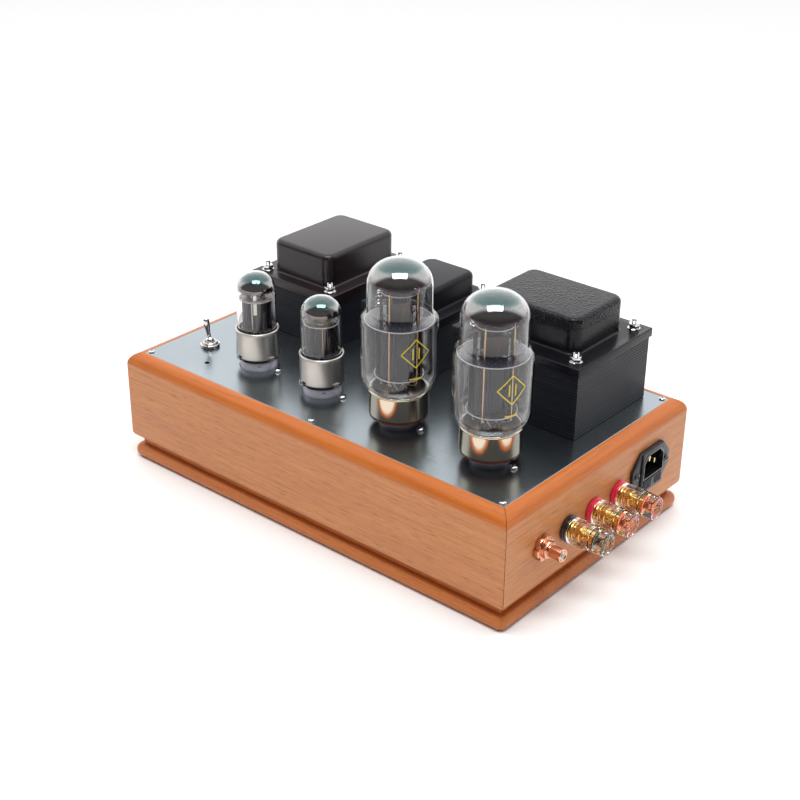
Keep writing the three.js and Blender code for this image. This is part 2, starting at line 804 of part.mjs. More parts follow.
function topCover(part, material) {
  const top = stackTop(part);
  const flangeTop = top + GAP + COVER_SHEET;
  const capTop = flangeTop + part.capHeight;
  const [stackX, stackY] = halves(part, part.long - STACK_TRIM, part.short - STACK_TRIM);
  const [capX, capY] = halves(part, part.capLong, part.capShort);
  const skirt = GAP + COVER_SHEET;
  const flange = block(
    -stackX - skirt,
    stackX + skirt,
    -stackY - skirt,
    stackY + skirt,
    top - COVER_SKIRT,
    flangeTop,
  );
  const cap = pillow(
    2 * capX,
    2 * capY,
    CAP_CORNER_RADIUS,
    CAP_EDGE_RADIUS,
    top - COVER_SKIRT,
    capTop,
  );
  const underFlange = block(
    -stackX - GAP,
    stackX + GAP,
    -stackY - GAP,
    stackY + GAP,
    0,
    top + GAP,
  );
  const hollow = pillow(
    2 * (capX - COVER_SHEET),
    2 * (capY - COVER_SHEET),
    CAP_CORNER_RADIUS - COVER_SHEET,
    CAP_EDGE_RADIUS - COVER_SHEET,
    0,
    capTop - COVER_SHEET,
  );
  const holes = boltPlaces(part).map(([boltX, boltY]) =>
    rod(BOLT_HOLE_RADIUS, top - PAST, flangeTop + PAST, TINY, boltX, boltY),
  );
  const shell = cut(join(flange, cap), underFlange, hollow, ...holes);
  return mesh(`${part.name}_top_cover`, shell, material);
}

// A through bolt with a washer and a nut at each end, below the deck and above the cover.
function throughBolt(name, part) {
  const flangeTop = stackTop(part) + GAP + COVER_SHEET;
  const upper = flangeTop + GAP;
  const lower = -DECK_THICKNESS - GAP;
  const stem = rod(
    BOLT_RADIUS,
    lower - WASHER_THICKNESS - NUT_HEIGHT - BOLT_END,
    upper + WASHER_THICKNESS + NUT_HEIGHT + BOLT_END,
    TINY,
  );
  const upperWasher = rod(WASHER_RADIUS, upper, upper + WASHER_THICKNESS, COARSE);
  const upperNut = rod(NUT_RADIUS, upper, upper + WASHER_THICKNESS + NUT_HEIGHT, TINY);
  const lowerWasher = rod(WASHER_RADIUS, lower - WASHER_THICKNESS, lower, COARSE);
  const lowerNut = rod(NUT_RADIUS, lower - WASHER_THICKNESS - NUT_HEIGHT, lower, TINY);
  return mesh(name, join(stem, upperWasher, upperNut, lowerWasher, lowerNut), chrome);
}

function addTransformer(part, coverMaterial) {
  const place = new THREE.Group();
  place.position.set(part.x, TRANSFORMER_Y, DECK_HEIGHT);
  place.add(core(part));
  if (part.separateCoil) place.add(coil(part));
  place.add(topCover(part, coverMaterial));
  if (part.separateBolts) {
    boltPlaces(part).forEach(([x, y], i) => {
      const bolt = throughBolt(`${part.name}_bolt_${i + 1}`, part);
      bolt.position.set(x, y, 0);
      place.add(bolt);
    });
  }
  amplifier.add(place);
}

// ---- Toggle switch, z = 0 on the deck ----
function switchBody() {
  const { width, depth, height } = SWITCH_CASE;
  const caseTop = -DECK_THICKNESS - SWITCH_CASE.below;
  const box = block(-width / 2, width / 2, -depth / 2, depth / 2, caseTop - height, caseTop);
  const bushing = rod(BUSHING_RADIUS, caseTop - LAP, BUSHING_HEIGHT, FINE);
  const boreEnd = caseTop - BALL_SEAT_DEPTH;
  const bore = rod(LEVER_BALL_RADIUS + GAP, boreEnd, BUSHING_HEIGHT + PAST, FINE);
  return mesh("switch_body", cut(join(box, bushing), bore), nickel);
}

function switchNut() {
  const inner = BUSHING_RADIUS + GAP;
  const top = GAP + SWITCH_NUT_HEIGHT;
  const ring = turned(
    [
      [inner, GAP],
      [SWITCH_NUT_RADIUS, GAP],
      [SWITCH_NUT_RADIUS, top - RIM_CHAMFER],
      [SWITCH_NUT_RADIUS - RIM_CHAMFER, top],
      [inner, top],
      [inner, GAP],
    ],
  );
  return mesh("switch_nut", ring, chrome);
}

// The lever stands on its ball, thin at the root and full at the tip, and leans to -X.
function switchLever() {
  const outline = [[0, -LEVER_BALL_RADIUS]];
  const rootAngle = Math.acos(LEVER_ROOT_RADIUS / LEVER_BALL_RADIUS);
  for (let i = 1; i <= BALL_STEPS; i += 1) {
    const angle = -Math.PI / 2 + (i / BALL_STEPS) * (Math.PI / 2 + rootAngle);
    outline.push([LEVER_BALL_RADIUS * Math.cos(angle), LEVER_BALL_RADIUS * Math.sin(angle)]);
  }
  outline.push([LEVER_ROOT_RADIUS, LEVER_BALL_RADIUS]);
  outline.push([LEVER_TIP_RADIUS, LEVER_LENGTH - LEVER_TIP_LENGTH]);
  outline.push([LEVER_TIP_RADIUS, LEVER_LENGTH - LEVER_TIP_ROUND]);
  outline.push([LEVER_TIP_RADIUS - LEVER_TIP_ROUND / 2, LEVER_LENGTH - LEVER_TIP_ROUND / 4]);
  outline.push([0, LEVER_LENGTH]);
  return mesh("switch_lever", turned(outline, COARSE), chrome);
}

function addSwitch() {
  const place = new THREE.Group();
  place.position.set(SWITCH_X, SWITCH_Y, DECK_HEIGHT);
  place.add(switchBody());
  place.add(switchNut());
  const lever = switchLever();
  lever.position.z = BUSHING_HEIGHT;
  lever.rotation.y = -LEVER_TILT;
  place.add(lever);
  amplifier.add(place);
}

// ---- Connectors, about their own axis along X, x = 0 on the board's outer face ----
function rearNut(radius) {
  const front = -BOARD_THICKNESS - GAP;
  return barX(radius, front - REAR_NUT_HEIGHT, front, TINY);
}

function postCollar(name, material) {
  const inner = STUD_RADIUS + GAP;
  const front = GAP + COLLAR_THICKNESS;
  const ring = turnedX([
    [inner, GAP],
    [COLLAR_RADIUS, GAP],
    [COLLAR_RADIUS, front - RIM_CHAMFER],
    [COLLAR_RADIUS - RIM_CHAMFER, front],
    [inner, front],
    [inner, GAP],
  ]);
  return mesh(name, ring, material);
}

function studReach() {
  return insertStart() + INSERT_LENGTH - STUD_SETBACK;
}

function postStud(name) {
  const shoulderStart = COLLAR_THICKNESS + 2 * GAP;
  const stud = barX(STUD_RADIUS, -BOARD_THICKNESS - STUD_TAIL, studReach(), COARSE);
  const shoulder = barX(SHOULDER_RADIUS, shoulderStart, shoulderStart + SHOULDER_LENGTH, COARSE);
  const bore = barX(BANANA_RADIUS, shoulderStart, studReach() + PAST, TINY);
  return mesh(name, cut(join(stud, shoulder, rearNut(REAR_NUT_RADIUS)), bore), gold);
}

function insertStart() {
  return COLLAR_THICKNESS + SHOULDER_LENGTH + 3 * GAP;
}

function postInsert(name) {
  const start = insertStart();
  const end = start + INSERT_LENGTH;
  const inner = STUD_RADIUS + GAP;
  const ring = turnedX(
    [
      [inner, start],
      [INSERT_RADIUS, start],
      [INSERT_RADIUS, end],
      [inner, end],
      [inner, start],
    ],
    COARSE,
  );
  return mesh(name, ring, gold);
}

function postCap(name) {
  const start = COLLAR_THICKNESS + 2 * GAP;
  const insertEnd = insertStart() + INSERT_LENGTH + GAP;
  const wide = SHOULDER_RADIUS + GAP;
  const noseStart = POST_LENGTH - POST_NOSE_LENGTH;
  const shell = turnedX([
    [wide, start],
    [POST_CAP_RADIUS, start],
    [POST_CAP_RADIUS, noseStart],
    [POST_CAP_NOSE_RADIUS, POST_LENGTH],
    [BANANA_RADIUS + GAP, POST_LENGTH],
    [BANANA_RADIUS + GAP, insertEnd],
    [wide, insertEnd],
    [wide, start],
  ]);
  return mesh(name, shell, clearPlastic);
}

function addPost(number, y, collarMaterial) {
  const place = new THREE.Group();
  place.position.set(HALF_LENGTH, y, CONNECTOR_HEIGHT);
  place.add(postCollar(`speaker_post_${number}_collar`, collarMaterial));
  place.add(postStud(`speaker_post_${number}_stud`));
  place.add(postInsert(`speaker_post_${number}_insert`));
  place.add(postCap(`speaker_post_${number}_cap`));
  amplifier.add(place);
}

function addJack() {
  const flangeEnd = GAP + JACK_FLANGE_THICKNESS;
  const neckEnd = flangeEnd + JACK_NECK_LENGTH;
  const flange = barX(JACK_FLANGE_RADIUS, GAP, flangeEnd);
  const notches = Array.from({ length: JACK_NOTCHES }, (_, i) => {
    const angle = (i / JACK_NOTCHES) * 2 * Math.PI;
    return barX(
      JACK_NOTCH_RADIUS,
      GAP + PAST,
      flangeEnd + PAST,
      TINY,
      JACK_FLANGE_RADIUS * Math.cos(angle),
      JACK_FLANGE_RADIUS * Math.sin(angle),
    );
  });
  const neck = barX(JACK_NECK_RADIUS, flangeEnd - LAP, neckEnd, COARSE);
  const barrel = barX(JACK_BARREL_RADIUS, flangeEnd, JACK_LENGTH, COARSE);
  const tail = barX(JACK_TAIL_RADIUS, -BOARD_THICKNESS - STUD_TAIL, GAP + LAP, COARSE);
  const bore = barX(JACK_BORE_RADIUS, JACK_LENGTH - JACK_BORE_DEPTH, JACK_LENGTH + PAST, TINY);
  const nut = rearNut(REAR_NUT_RADIUS);
  const shape = cut(join(cut(flange, ...notches), neck, barrel, tail, nut), bore);
  const jack = mesh("signal_jack", shape, roseGold);
  jack.position.set(HALF_LENGTH, JACK_Y, CONNECTOR_HEIGHT);
  amplifier.add(jack);
}

// ---- Mains inlet with a fuse drawer, centred on the inlet, x = 0 on the board ----
function inletRecess() {
  const y = INLET.recessWidth / 2;
  const low = INLET.recessCentre - INLET.recessHeight / 2;
  const high = INLET.recessCentre + INLET.recessHeight / 2;
  const chamfer = INLET.recessChamfer;
  return polygon([
    [-y, low],
    [y, low],
    [y, high - chamfer],
    [y - chamfer, high],
    [-y + chamfer, high],
    [-y, high - chamfer],
  ]);
}

function inletPins() {
  const low = INLET.recessCentre - INLET.pinOffset;
  const high = INLET.recessCentre + INLET.pinOffset;
  const side = INLET.pinSpacing / 2;
  return [
    [-side, low],
    [side, low],
    [0, high],
  ];
}

function pinBar([y, z], x0, x1, grow = 0) {
  const halfThickness = INLET.pinThickness / 2 + grow;
  const halfHeight = INLET.pinHeight / 2 + grow;
  return block(
    x0,
    x1,
    y - halfThickness,
    y + halfThickness,
    z - halfHeight,
    z + halfHeight,
  );
}

function inletBody() {
  const front = INLET.proud;
  const recessFloor = front - INLET.recessDepth;
  const halfWidth = INLET.blockWidth / 2;
  const halfHeight = INLET.blockHeight / 2;
  const earEnd = INLET.earSpan / 2;
  const earHalf = INLET.earHeight / 2;
  const earPlate = runX(
    polygon([
      [-halfWidth, -halfHeight],
      [halfWidth, -halfHeight],
      [earEnd, -earHalf],
      [earEnd, earHalf],
      [halfWidth, halfHeight],
      [-halfWidth, halfHeight],
      [-earEnd, earHalf],
      [-earEnd, -earHalf],
    ]),
    GAP,
    GAP + INLET.earThickness,
  );
  const face = block(GAP, front, -halfWidth, halfWidth, -halfHeight, halfHeight);
  const rear = block(
    -INLET.bodyDepth,
    GAP + LAP,
    INLET.rearInset - halfWidth,
    halfWidth - INLET.rearInset,
    INLET.rearInset - halfHeight,
    halfHeight - INLET.rearInset,
  );
  const recess = runX(inletRecess(), recessFloor, front + PAST);
  const pinSlots = inletPins().map((pin) =>
    pinBar(pin, -INLET.bodyDepth - PAST, recessFloor + PAST, GAP),
  );
  const pocketY = INLET.drawerWidth / 2 + GAP;
  const pocketZ = INLET.drawerHeight / 2 + GAP;
  const pocket = block(
    front - INLET.drawerDepth - 2 * GAP,
    front + PAST,
    -pocketY,
    pocketY,
    INLET.drawerCentre - pocketZ,
    INLET.drawerCentre + pocketZ,
  );
  const shape = cut(join(earPlate, face, rear), recess, pocket, ...pinSlots);
  return mesh("inlet_body", shape, blackPlastic);
}

function inletContacts() {
  const back = -INLET.bodyDepth - GAP;
  const carrier = block(
    back - INLET.contactBlockDepth,
    back,
    -INLET.recessWidth / 2,
    INLET.recessWidth / 2,
    INLET.recessCentre - INLET.recessHeight / 2,
    INLET.recessCentre + INLET.recessHeight / 2,
  );
  const tip = INLET.proud - INLET.pinInset;
  const pins = inletPins().map((pin) => pinBar(pin, back - LAP, tip));
  return mesh("inlet_contacts", join(carrier, ...pins), brass);
}

function fuseDrawer() {
  const front = INLET.proud + INLET.drawerProud;
  const back = INLET.proud - INLET.drawerDepth;
  const halfWidth = INLET.drawerWidth / 2;
  const halfHeight = INLET.drawerHeight / 2;
  const centre = INLET.drawerCentre;
  const tray = block(back, front, -halfWidth, halfWidth, centre - halfHeight, centre + halfHeight);
  const fuseX = INLET.proud - FUSE_INSET;
  const trough = block(
    fuseX - FUSE_RADIUS - GAP,
    fuseX + FUSE_RADIUS + GAP,
    -FUSE_LENGTH / 2 - GAP,
    FUSE_LENGTH / 2 + GAP,
    centre - FUSE_RADIUS - GAP,
    centre + halfHeight + PAST,
  );
  return mesh("fuse_drawer", cut(tray, trough), blackPlastic);
}

function fuse() {
  const geometry = new THREE.CylinderGeometry(FUSE_RADIUS, FUSE_RADIUS, FUSE_LENGTH, COARSE);
  geometry.translate(INLET.proud - FUSE_INSET, 0, INLET.drawerCentre);
  return mesh("fuse", solid(geometry), glass);
}

function addInlet() {
  const place = new THREE.Group();
  place.position.set(HALF_LENGTH, INLET_Y, INLET_HEIGHT);
  place.add(inletBody());
  place.add(inletContacts());
  place.add(fuseDrawer());
  place.add(fuse());
  amplifier.add(place);
}

// ---- Inside the cabinet ----
function mainBoard() {
  const { x, y, length, width, thickness, height } = MAIN_BOARD;
  const foot = PLINTH_TOP + GAP;
  const underside = foot + height;
  const board = block(
    x - length / 2,
    x + length / 2,
    y - width / 2,
    y + width / 2,
    underside,
    underside + thickness,
  );
  const reachX = length / 2 - PILLAR_INSET;
  const reachY = width / 2 - PILLAR_INSET;
  const pillars = [
    [-reachX, -reachY],
    [reachX, -reachY],
    [reachX, reachY],
    [-reachX, reachY],
  ].map(([dx, dy]) => rod(PILLAR_RADIUS, foot, underside + LAP, TINY, x + dx, y + dy));
  return mesh("main_board", join(board, ...pillars), boardGreen);
}

function filterCapacitor() {
  const { x, y, radius, length } = CAPACITOR;
  const height = PLINTH_TOP + GAP + radius;
  const can = barX(radius, x - length / 2, x + length / 2, FINE, y, height);
  return mesh("filter_capacitor", can, sleeveBlue);
}

amplifier.add(baseBoard());
placeBoard("front_board", mitredBoard(CABINET_LENGTH), -HALF_LENGTH, -HALF_WIDTH, 0);
placeBoard("back_board", mitredBoard(CABINET_LENGTH), HALF_LENGTH, HALF_WIDTH, Math.PI);
placeBoard("end_board", mitredBoard(CABINET_WIDTH), -HALF_LENGTH, HALF_WIDTH, -Math.PI / 2);
placeBoard(
  "connector_board",
  cut(mitredBoard(CABINET_WIDTH), ...connectorHoles()),
  HALF_LENGTH,
  -HALF_WIDTH,
  Math.PI / 2,
);
amplifier.add(deckPlate());
DRIVER_VALVE_X.forEach((x, i) => addValve("driver", i + 1, x, DRIVER_VALVE, nickel));
OUTPUT_VALVE_X.forEach((x, i) => addValve("output", i + 1, x, OUTPUT_VALVE, nickel));
addTransformer(POWER_TRANSFORMER, blackPaint);
addTransformer(OUTPUT_TRANSFORMER, brownPaint);
addTransformer(CHOKE, blackPaint);
addSwitch();
addJack();
POST_Y.forEach((y, i) => addPost(i + 1, y, i === 0 ? blackPlastic : redPlastic));
addInlet();
amplifier.add(mainBoard());
amplifier.add(filterCapacitor());

export default amplifier;
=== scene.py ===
import math

import bmesh
import bpy
from mathutils import Matrix, Vector


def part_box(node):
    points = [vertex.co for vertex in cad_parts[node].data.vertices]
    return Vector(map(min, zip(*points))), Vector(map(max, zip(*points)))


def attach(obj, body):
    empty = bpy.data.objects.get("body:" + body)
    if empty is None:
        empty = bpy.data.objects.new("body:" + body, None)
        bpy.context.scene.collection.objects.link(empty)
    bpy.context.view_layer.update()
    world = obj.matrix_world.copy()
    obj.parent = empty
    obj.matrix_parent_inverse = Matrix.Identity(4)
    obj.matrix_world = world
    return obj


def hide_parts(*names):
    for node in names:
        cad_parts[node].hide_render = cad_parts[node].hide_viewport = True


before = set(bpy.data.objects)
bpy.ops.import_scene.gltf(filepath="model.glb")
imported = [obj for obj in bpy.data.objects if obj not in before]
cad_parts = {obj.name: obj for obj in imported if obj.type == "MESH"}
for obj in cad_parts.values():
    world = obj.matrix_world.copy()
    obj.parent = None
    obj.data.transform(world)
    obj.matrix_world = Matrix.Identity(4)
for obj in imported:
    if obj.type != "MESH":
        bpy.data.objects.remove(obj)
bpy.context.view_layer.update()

# A valve amplifier in a wooden cabinet. Lengths are millimetres until a mesh is written.
# Each section makes one part of it; places and sizes come from the frame where they can.
MM = 0.001
FULL_TURN = 2 * math.pi
ROUND_SIDES = 72
SMALL_SIDES = 40
SHARP_ANGLE = math.radians(34)
GAP = 0.3


# ---- Places, read from the frame ----
def box_mm(node):
    low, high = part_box(node)
    return Vector(low) / MM, Vector(high) / MM


def centre(node):
    low, high = box_mm(node)
    return (low + high) / 2


DECK = box_mm("deck_plate")[1].z
FACE = box_mm("connector_board")[1].x
PLATE = DECK - box_mm("deck_plate")[0].z
TO_X = Matrix.Rotation(math.pi / 2, 4, "Y")  # turns a piece built along Z to point along +X


# ---- Shapes, each a bmesh in millimetres ----
def lathe(outline, sides=ROUND_SIDES, closed=False):
    """Turns a (radius, height) outline about Z. closed joins the last point to the first."""
    made = bmesh.new()
    rings = []
    for radius, height in outline:
        if radius < 1e-6:
            rings.append([made.verts.new((0, 0, height))])
            continue
        angles = [FULL_TURN * i / sides for i in range(sides)]
        rings.append([made.verts.new((radius * math.cos(a), radius * math.sin(a), height)) for a in angles])
    pairs = list(zip(rings, rings[1:]))
    if closed:
        pairs.append((rings[-1], rings[0]))
    for lower, upper in pairs:
        for i in range(sides):
            j = (i + 1) % sides
            if len(lower) == 1 and len(upper) == 1:
                break
            if len(lower) == 1:
                made.faces.new((lower[0], upper[j], upper[i]))
            elif len(upper) == 1:
                made.faces.new((lower[i], lower[j], upper[0]))
            else:
                made.faces.new((lower[i], lower[j], upper[j], upper[i]))
    return made


def prism(outline, z0, z1):
    """Raises a plan outline of (x, y) points from z0 to z1."""
    made = bmesh.new()
    low = [made.verts.new((x, y, z0)) for x, y in outline]
    high = [made.verts.new((x, y, z1)) for x, y in outline]
    made.faces.new(list(reversed(low)))
    made.faces.new(high)
    for i in range(len(outline)):
        j = (i + 1) % len(outline)
        made.faces.new((low[i], low[j], high[j], high[i]))
    return made


def block(x0, x1, y0, y1, z0, z1):
    return prism([(x0, y0), (x1, y0), (x1, y1), (x0, y1)], z0, z1)


def bar(radius, z0, z1, x=0.0, y=0.0, sides=24, edge=0.0):
    """A round bar along Z whose two rims are rounded by edge."""
    outline = [(0, z0)]
    if edge:
        outline += arc(radius - edge, z0 + edge, edge, -90, 0, 4)
        outline += arc(radius - edge, z1 - edge, edge, 0, 90, 4)
    else:
        outline += [(radius, z0), (radius, z1)]
    outline.append((0, z1))
    return moved(lathe(outline, sides), x, y, 0)


def arc(x, y, radius, start, end, steps):
    """Points on an arc, angles in degrees."""
    turns = [math.radians(start + (end - start) * i / steps) for i in range(steps + 1)]
    return [(x + radius * math.cos(t), y + radius * math.sin(t)) for t in turns]


def thread(crest, root, start, end, pitch, rise):
    """Outline points up a threaded length: crest, root and crest again on each turn."""
    points = []
    height = start
    while height < end:
        points += [(crest, height), (root, height + rise), (crest, height + 2 * rise)]
        height += pitch
    return points


def regular(sides, radius, phase=0.0):
    turns = [FULL_TURN * (i + phase) / sides for i in range(sides)]
    return [(radius * math.cos(t), radius * math.sin(t)) for t in turns]


def rounded(width, depth, radius, steps=6):
    x, y = width / 2 - radius, depth / 2 - radius
    return (
        arc(x, -y, radius, -90, 0, steps) + arc(x, y, radius, 0, 90, steps)
        + arc(-x, y, radius, 90, 180, steps) + arc(-x, -y, radius, 180, 270, steps)
    )


def soften(made, width, segments=2, above=None, angle=40):
    """Rounds the sharp edges, or only those wholly above a height."""
    bmesh.ops.recalc_face_normals(made, faces=made.faces)
    edges = []
    for edge in made.edges:
        if len(edge.link_faces) != 2 or edge.calc_face_angle(0) < math.radians(angle):
            continue
        if above is not None and min(v.co.z for v in edge.verts) < above:
            continue
        edges.append(edge)
    bmesh.ops.bevel(
        made, geom=edges, offset=width, segments=segments, profile=0.5, affect="EDGES", clamp_overlap=True,
    )
    return made


def moved(made, x=0.0, y=0.0, z=0.0):
    bmesh.ops.translate(made, verts=made.verts, vec=(x, y, z))
    return made


def turned(made, matrix):
    bmesh.ops.transform(made, matrix=matrix, verts=made.verts)
    return made


def spun(made, degrees):
    return turned(made, Matrix.Rotation(math.radians(degrees), 4, "Z"))


def swept(points, radius, sides=8):
    """A wire along a list of points."""
    made = bmesh.new()
    rings = []
    for i, point in enumerate(points):
        ahead = Vector(points[min(i + 1, len(points) - 1)])
        behind = Vector(points[max(i - 1, 0)])
        along = (ahead - behind).normalized()
        side = along.cross(Vector((0, 0, 1)) if abs(along.z) < 0.9 else Vector((1, 0, 0)))
        side.normalize()
        up = side.cross(along)
        turns = [FULL_TURN * k / sides for k in range(sides)]
        rings.append(
            [made.verts.new(Vector(point) + radius * (math.cos(t) * side + math.sin(t) * up)) for t in turns]
        )
    for lower, upper in zip(rings, rings[1:]):
        for k in range(sides):
            j = (k + 1) % sides
            made.faces.new((lower[k], lower[j], upper[j], upper[k]))
    made.faces.new(list(reversed(rings[0])))
    made.faces.new(rings[-1])
    return made


def together(*parts):
    """Joins shapes into one mesh of several closed solids."""
    made = bmesh.new()
    for part in parts:
        scratch = bpy.data.meshes.new("scratch")
        bmesh.ops.recalc_face_normals(part, faces=part.faces)
        part.to_mesh(scratch)
        part.free()
        made.from_mesh(scratch)
        bpy.data.meshes.remove(scratch)
    return made


def piece(name, made, look, body, replaces=(), at=(0, 0, 0), sharp=SHARP_ANGLE, flip=True):
    """Writes a shape as an object in metres that rides on a body."""
    if flip:
        bmesh.ops.recalc_face_normals(made, faces=made.faces)
    bmesh.ops.scale(made, verts=made.verts, vec=(MM, MM, MM))
    mesh = bpy.data.meshes.new(name)
    made.to_mesh(mesh)
    made.free()
    mesh.polygons.foreach_set("use_smooth", [True] * len(mesh.polygons))
    mesh.set_sharp_from_angle(angle=sharp)
    mesh.materials.append(look)
    thing = bpy.data.objects.new(name, mesh)
    thing.location = Vector(at) * MM
    bpy.context.scene.collection.objects.link(thing)
    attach(thing, body)
    if replaces:
        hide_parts(*replaces)
    return thing


def cut(thing, *tools):
    """Takes closed shapes, given in the piece's own millimetres, out of a finished piece."""
    made = together(*tools)
    bmesh.ops.scale(made, verts=made.verts, vec=(MM, MM, MM))
    mesh = bpy.data.meshes.new("cutter")
    made.to_mesh(mesh)
    made.free()
    cutter = bpy.data.objects.new("cutter", mesh)
    cutter.matrix_world = thing.matrix_world
    bpy.context.scene.collection.objects.link(cutter)
    bpy.context.view_layer.update()
    modifier = thing.modifiers.new("cut", "BOOLEAN")
    modifier.operation = "DIFFERENCE"
    modifier.solver = "EXACT"
    modifier.use_self = True
    modifier.object = cutter
    whole = thing.evaluated_get(bpy.context.evaluated_depsgraph_get())
    result = bpy.data.meshes.new_from_object(whole)
    thing.modifiers.remove(modifier)
    thing.data = result
    thing.data.set_sharp_from_angle(angle=SHARP_ANGLE)
    bpy.data.objects.remove(cutter)
    return thing


# ---- Looks ----
class Look:
    """A material's node tree, with the surface read in millimetres."""

    def __init__(self, name):
        self.material = bpy.data.materials.new(name)
        self.material.use_nodes = True
        self.tree = self.material.node_tree
        self.shader = self.tree.nodes["Principled BSDF"]
        self.output = self.tree.nodes["Material Output"]

    def add(self, kind, links=None, **settings):
        node = self.tree.nodes.new(kind)
        for key, value in settings.items():
            setattr(node, key, value)
        for key, value in (links or {}).items():
            if isinstance(value, bpy.types.NodeSocket):
                self.tree.links.new(value, node.inputs[key])
            else:
                node.inputs[key].default_value = value
        return node

    def set(self, **values):
        for key, value in values.items():
            socket = self.shader.inputs[key.replace("_", " ")]
            if isinstance(value, bpy.types.NodeSocket):
                self.tree.links.new(value, socket)
            else:
                socket.default_value = value

    def place(self, stretch=(1, 1, 1)):
        coordinates = self.add("ShaderNodeTexCoord").outputs["Object"]
        scale = tuple(s / MM for s in stretch)
        return self.add("ShaderNodeMapping", {"Vector": coordinates, "Scale": scale}).outputs[0]

    def noise(self, size, detail=4, stretch=(1, 1, 1), rough=0.55, distortion=0.0):
        """Noise whose features are about size millimetres."""
        links = {
            "Vector": self.place(stretch),
            "Scale": 1 / size,
            "Detail": detail,
            "Roughness": rough,
            "Distortion": distortion,
        }
        return self.add("ShaderNodeTexNoise", links).outputs["Fac"]

    def ramp(self, value, stops):
        node = self.add("ShaderNodeValToRGB", {"Fac": value})
        elements = node.color_ramp.elements
        for i, (at, colour) in enumerate(stops):
            element = elements[i] if i < 2 else elements.new(at)
            element.position = at
            element.color = (*colour, 1)
        return node.outputs["Color"]

    def spread(self, value, low, high, start=0.0, end=1.0):
        links = {"Value": value, "From Min": start, "From Max": end, "To Min": low, "To Max": high}
        return self.add("ShaderNodeMapRange", links).outputs["Result"]

    def mix(self, factor, first, second, blend="MIX"):
        node = self.add("ShaderNodeMix", data_type="RGBA", blend_type=blend)
        for index, value in ((0, factor), (6, first), (7, second)):
            if isinstance(value, bpy.types.NodeSocket):
                self.tree.links.new(value, node.inputs[index])
            elif index == 0:
                node.inputs[index].default_value = value
            else:
                node.inputs[index].default_value = (*value, 1)
        return node.outputs[2]

    def math(self, operation, first, second=0.0):
        return self.add("ShaderNodeMath", {0: first, 1: second}, operation=operation).outputs[0]

    def height(self):
        coordinates = self.add("ShaderNodeTexCoord").outputs["Object"]
        axis = self.add("ShaderNodeSeparateXYZ", {0: coordinates}).outputs["Z"]
        return self.math("DIVIDE", axis, MM)

    def bump(self, value, depth, strength=1.0):
        links = {"Height": value, "Distance": depth * MM, "Strength": strength}
        normal = self.add("ShaderNodeBump", links).outputs["Normal"]
        self.set(Normal=normal)

    def let_light_in(self):
        """Lets lamps and bounced light through glass, so that what is inside is lit."""
        path = self.add("ShaderNodeLightPath")
        soft = self.math("MAXIMUM", path.outputs["Is Shadow Ray"], path.outputs["Is Diffuse Ray"])
        clear = self.add("ShaderNodeBsdfTransparent")
        links = {0: soft, 1: self.shader.outputs[0], 2: clear.outputs[0]}
        both = self.add("ShaderNodeMixShader", links)
        self.tree.links.new(both.outputs[0], self.output.inputs["Surface"])


def wood(name, lacquer_from=None, all_lacquer=False):
    """Satin hardwood with its grain along the piece's X, and orange lacquer above a height."""
    look = Look(name)
    drift = look.noise(70, 2, (0.2, 1, 1))
    streaks = look.noise(2.6, 6, (0.035, 1, 1), 0.62, 0.15)
    fine = look.noise(0.8, 4, (0.08, 1, 1), 0.7)
    pores = look.noise(0.75, 3, (0.05, 1, 1), 0.5)
    body = look.ramp(
        streaks, [(0.30, (0.50, 0.190, 0.068)), (0.50, (0.63, 0.250, 0.084)), (0.72, (0.73, 0.310, 0.112))],
    )
    body = look.mix(look.spread(drift, 0, 0.45, 0.35, 0.65), body, (0.56, 0.200, 0.070))
    body = look.mix(look.spread(fine, 0.0, 0.32, 0.45, 0.7), body, (0.40, 0.145, 0.050))
    pore = look.spread(pores, 0, 0.62, 0.56, 0.68)
    body = look.mix(pore, body, (0.24, 0.085, 0.030))
    warm = look.mix(streaks, (0.42, 0.085, 0.006), (0.64, 0.185, 0.022))
    warm = look.mix(look.math("MULTIPLY", pore, 0.45), warm, (0.22, 0.05, 0.010))
    if all_lacquer:
        body = look.mix(0.72, body, warm)
    if lacquer_from is not None:
        edge = look.spread(look.height(), 0, 1, lacquer_from - 0.8, lacquer_from + 1.2)
        body = look.mix(edge, body, warm)
    look.set(Base_Color=body, Roughness=look.spread(streaks, 0.34, 0.48))
    look.set(Coat_Weight=0.14, Coat_Roughness=0.14, Specular_IOR_Level=0.35)
    relief = look.math("ADD", look.math("MULTIPLY", fine, 0.5), look.math("MULTIPLY", pore, -0.8))
    look.bump(relief, 0.12, 0.6)
    return look.material


def metal(name, colour, roughness, flaws=0.04, brushed=None, bump=0.0):
    look = Look(name)
    stretch = brushed or (1, 1, 1)
    patches = look.noise(9, 4, stretch)
    fine = look.noise(0.8, 4, stretch)
    darker = tuple(c * 0.82 for c in colour)
    look.set(Base_Color=look.mix(patches, darker, colour), Metallic=1.0)
    look.set(Roughness=look.spread(fine, max(roughness - flaws, 0.03), roughness + flaws))
    if bump:
        look.bump(fine, bump, 0.5)
    return look.material


def plastic(name, colour, roughness, grain=0.05, coat=0.0):
    look = Look(name)
    patches = look.noise(7, 3)
    fine = look.noise(0.5, 4)
    lighter = tuple(min(c * 1.35 + 0.004, 1) for c in colour)
    look.set(Base_Color=look.mix(patches, colour, lighter), Coat_Weight=coat)
    look.set(Roughness=look.spread(fine, max(roughness - 0.06, 0.02), roughness + 0.06))
    look.bump(fine, grain, 0.4)
    return look.material


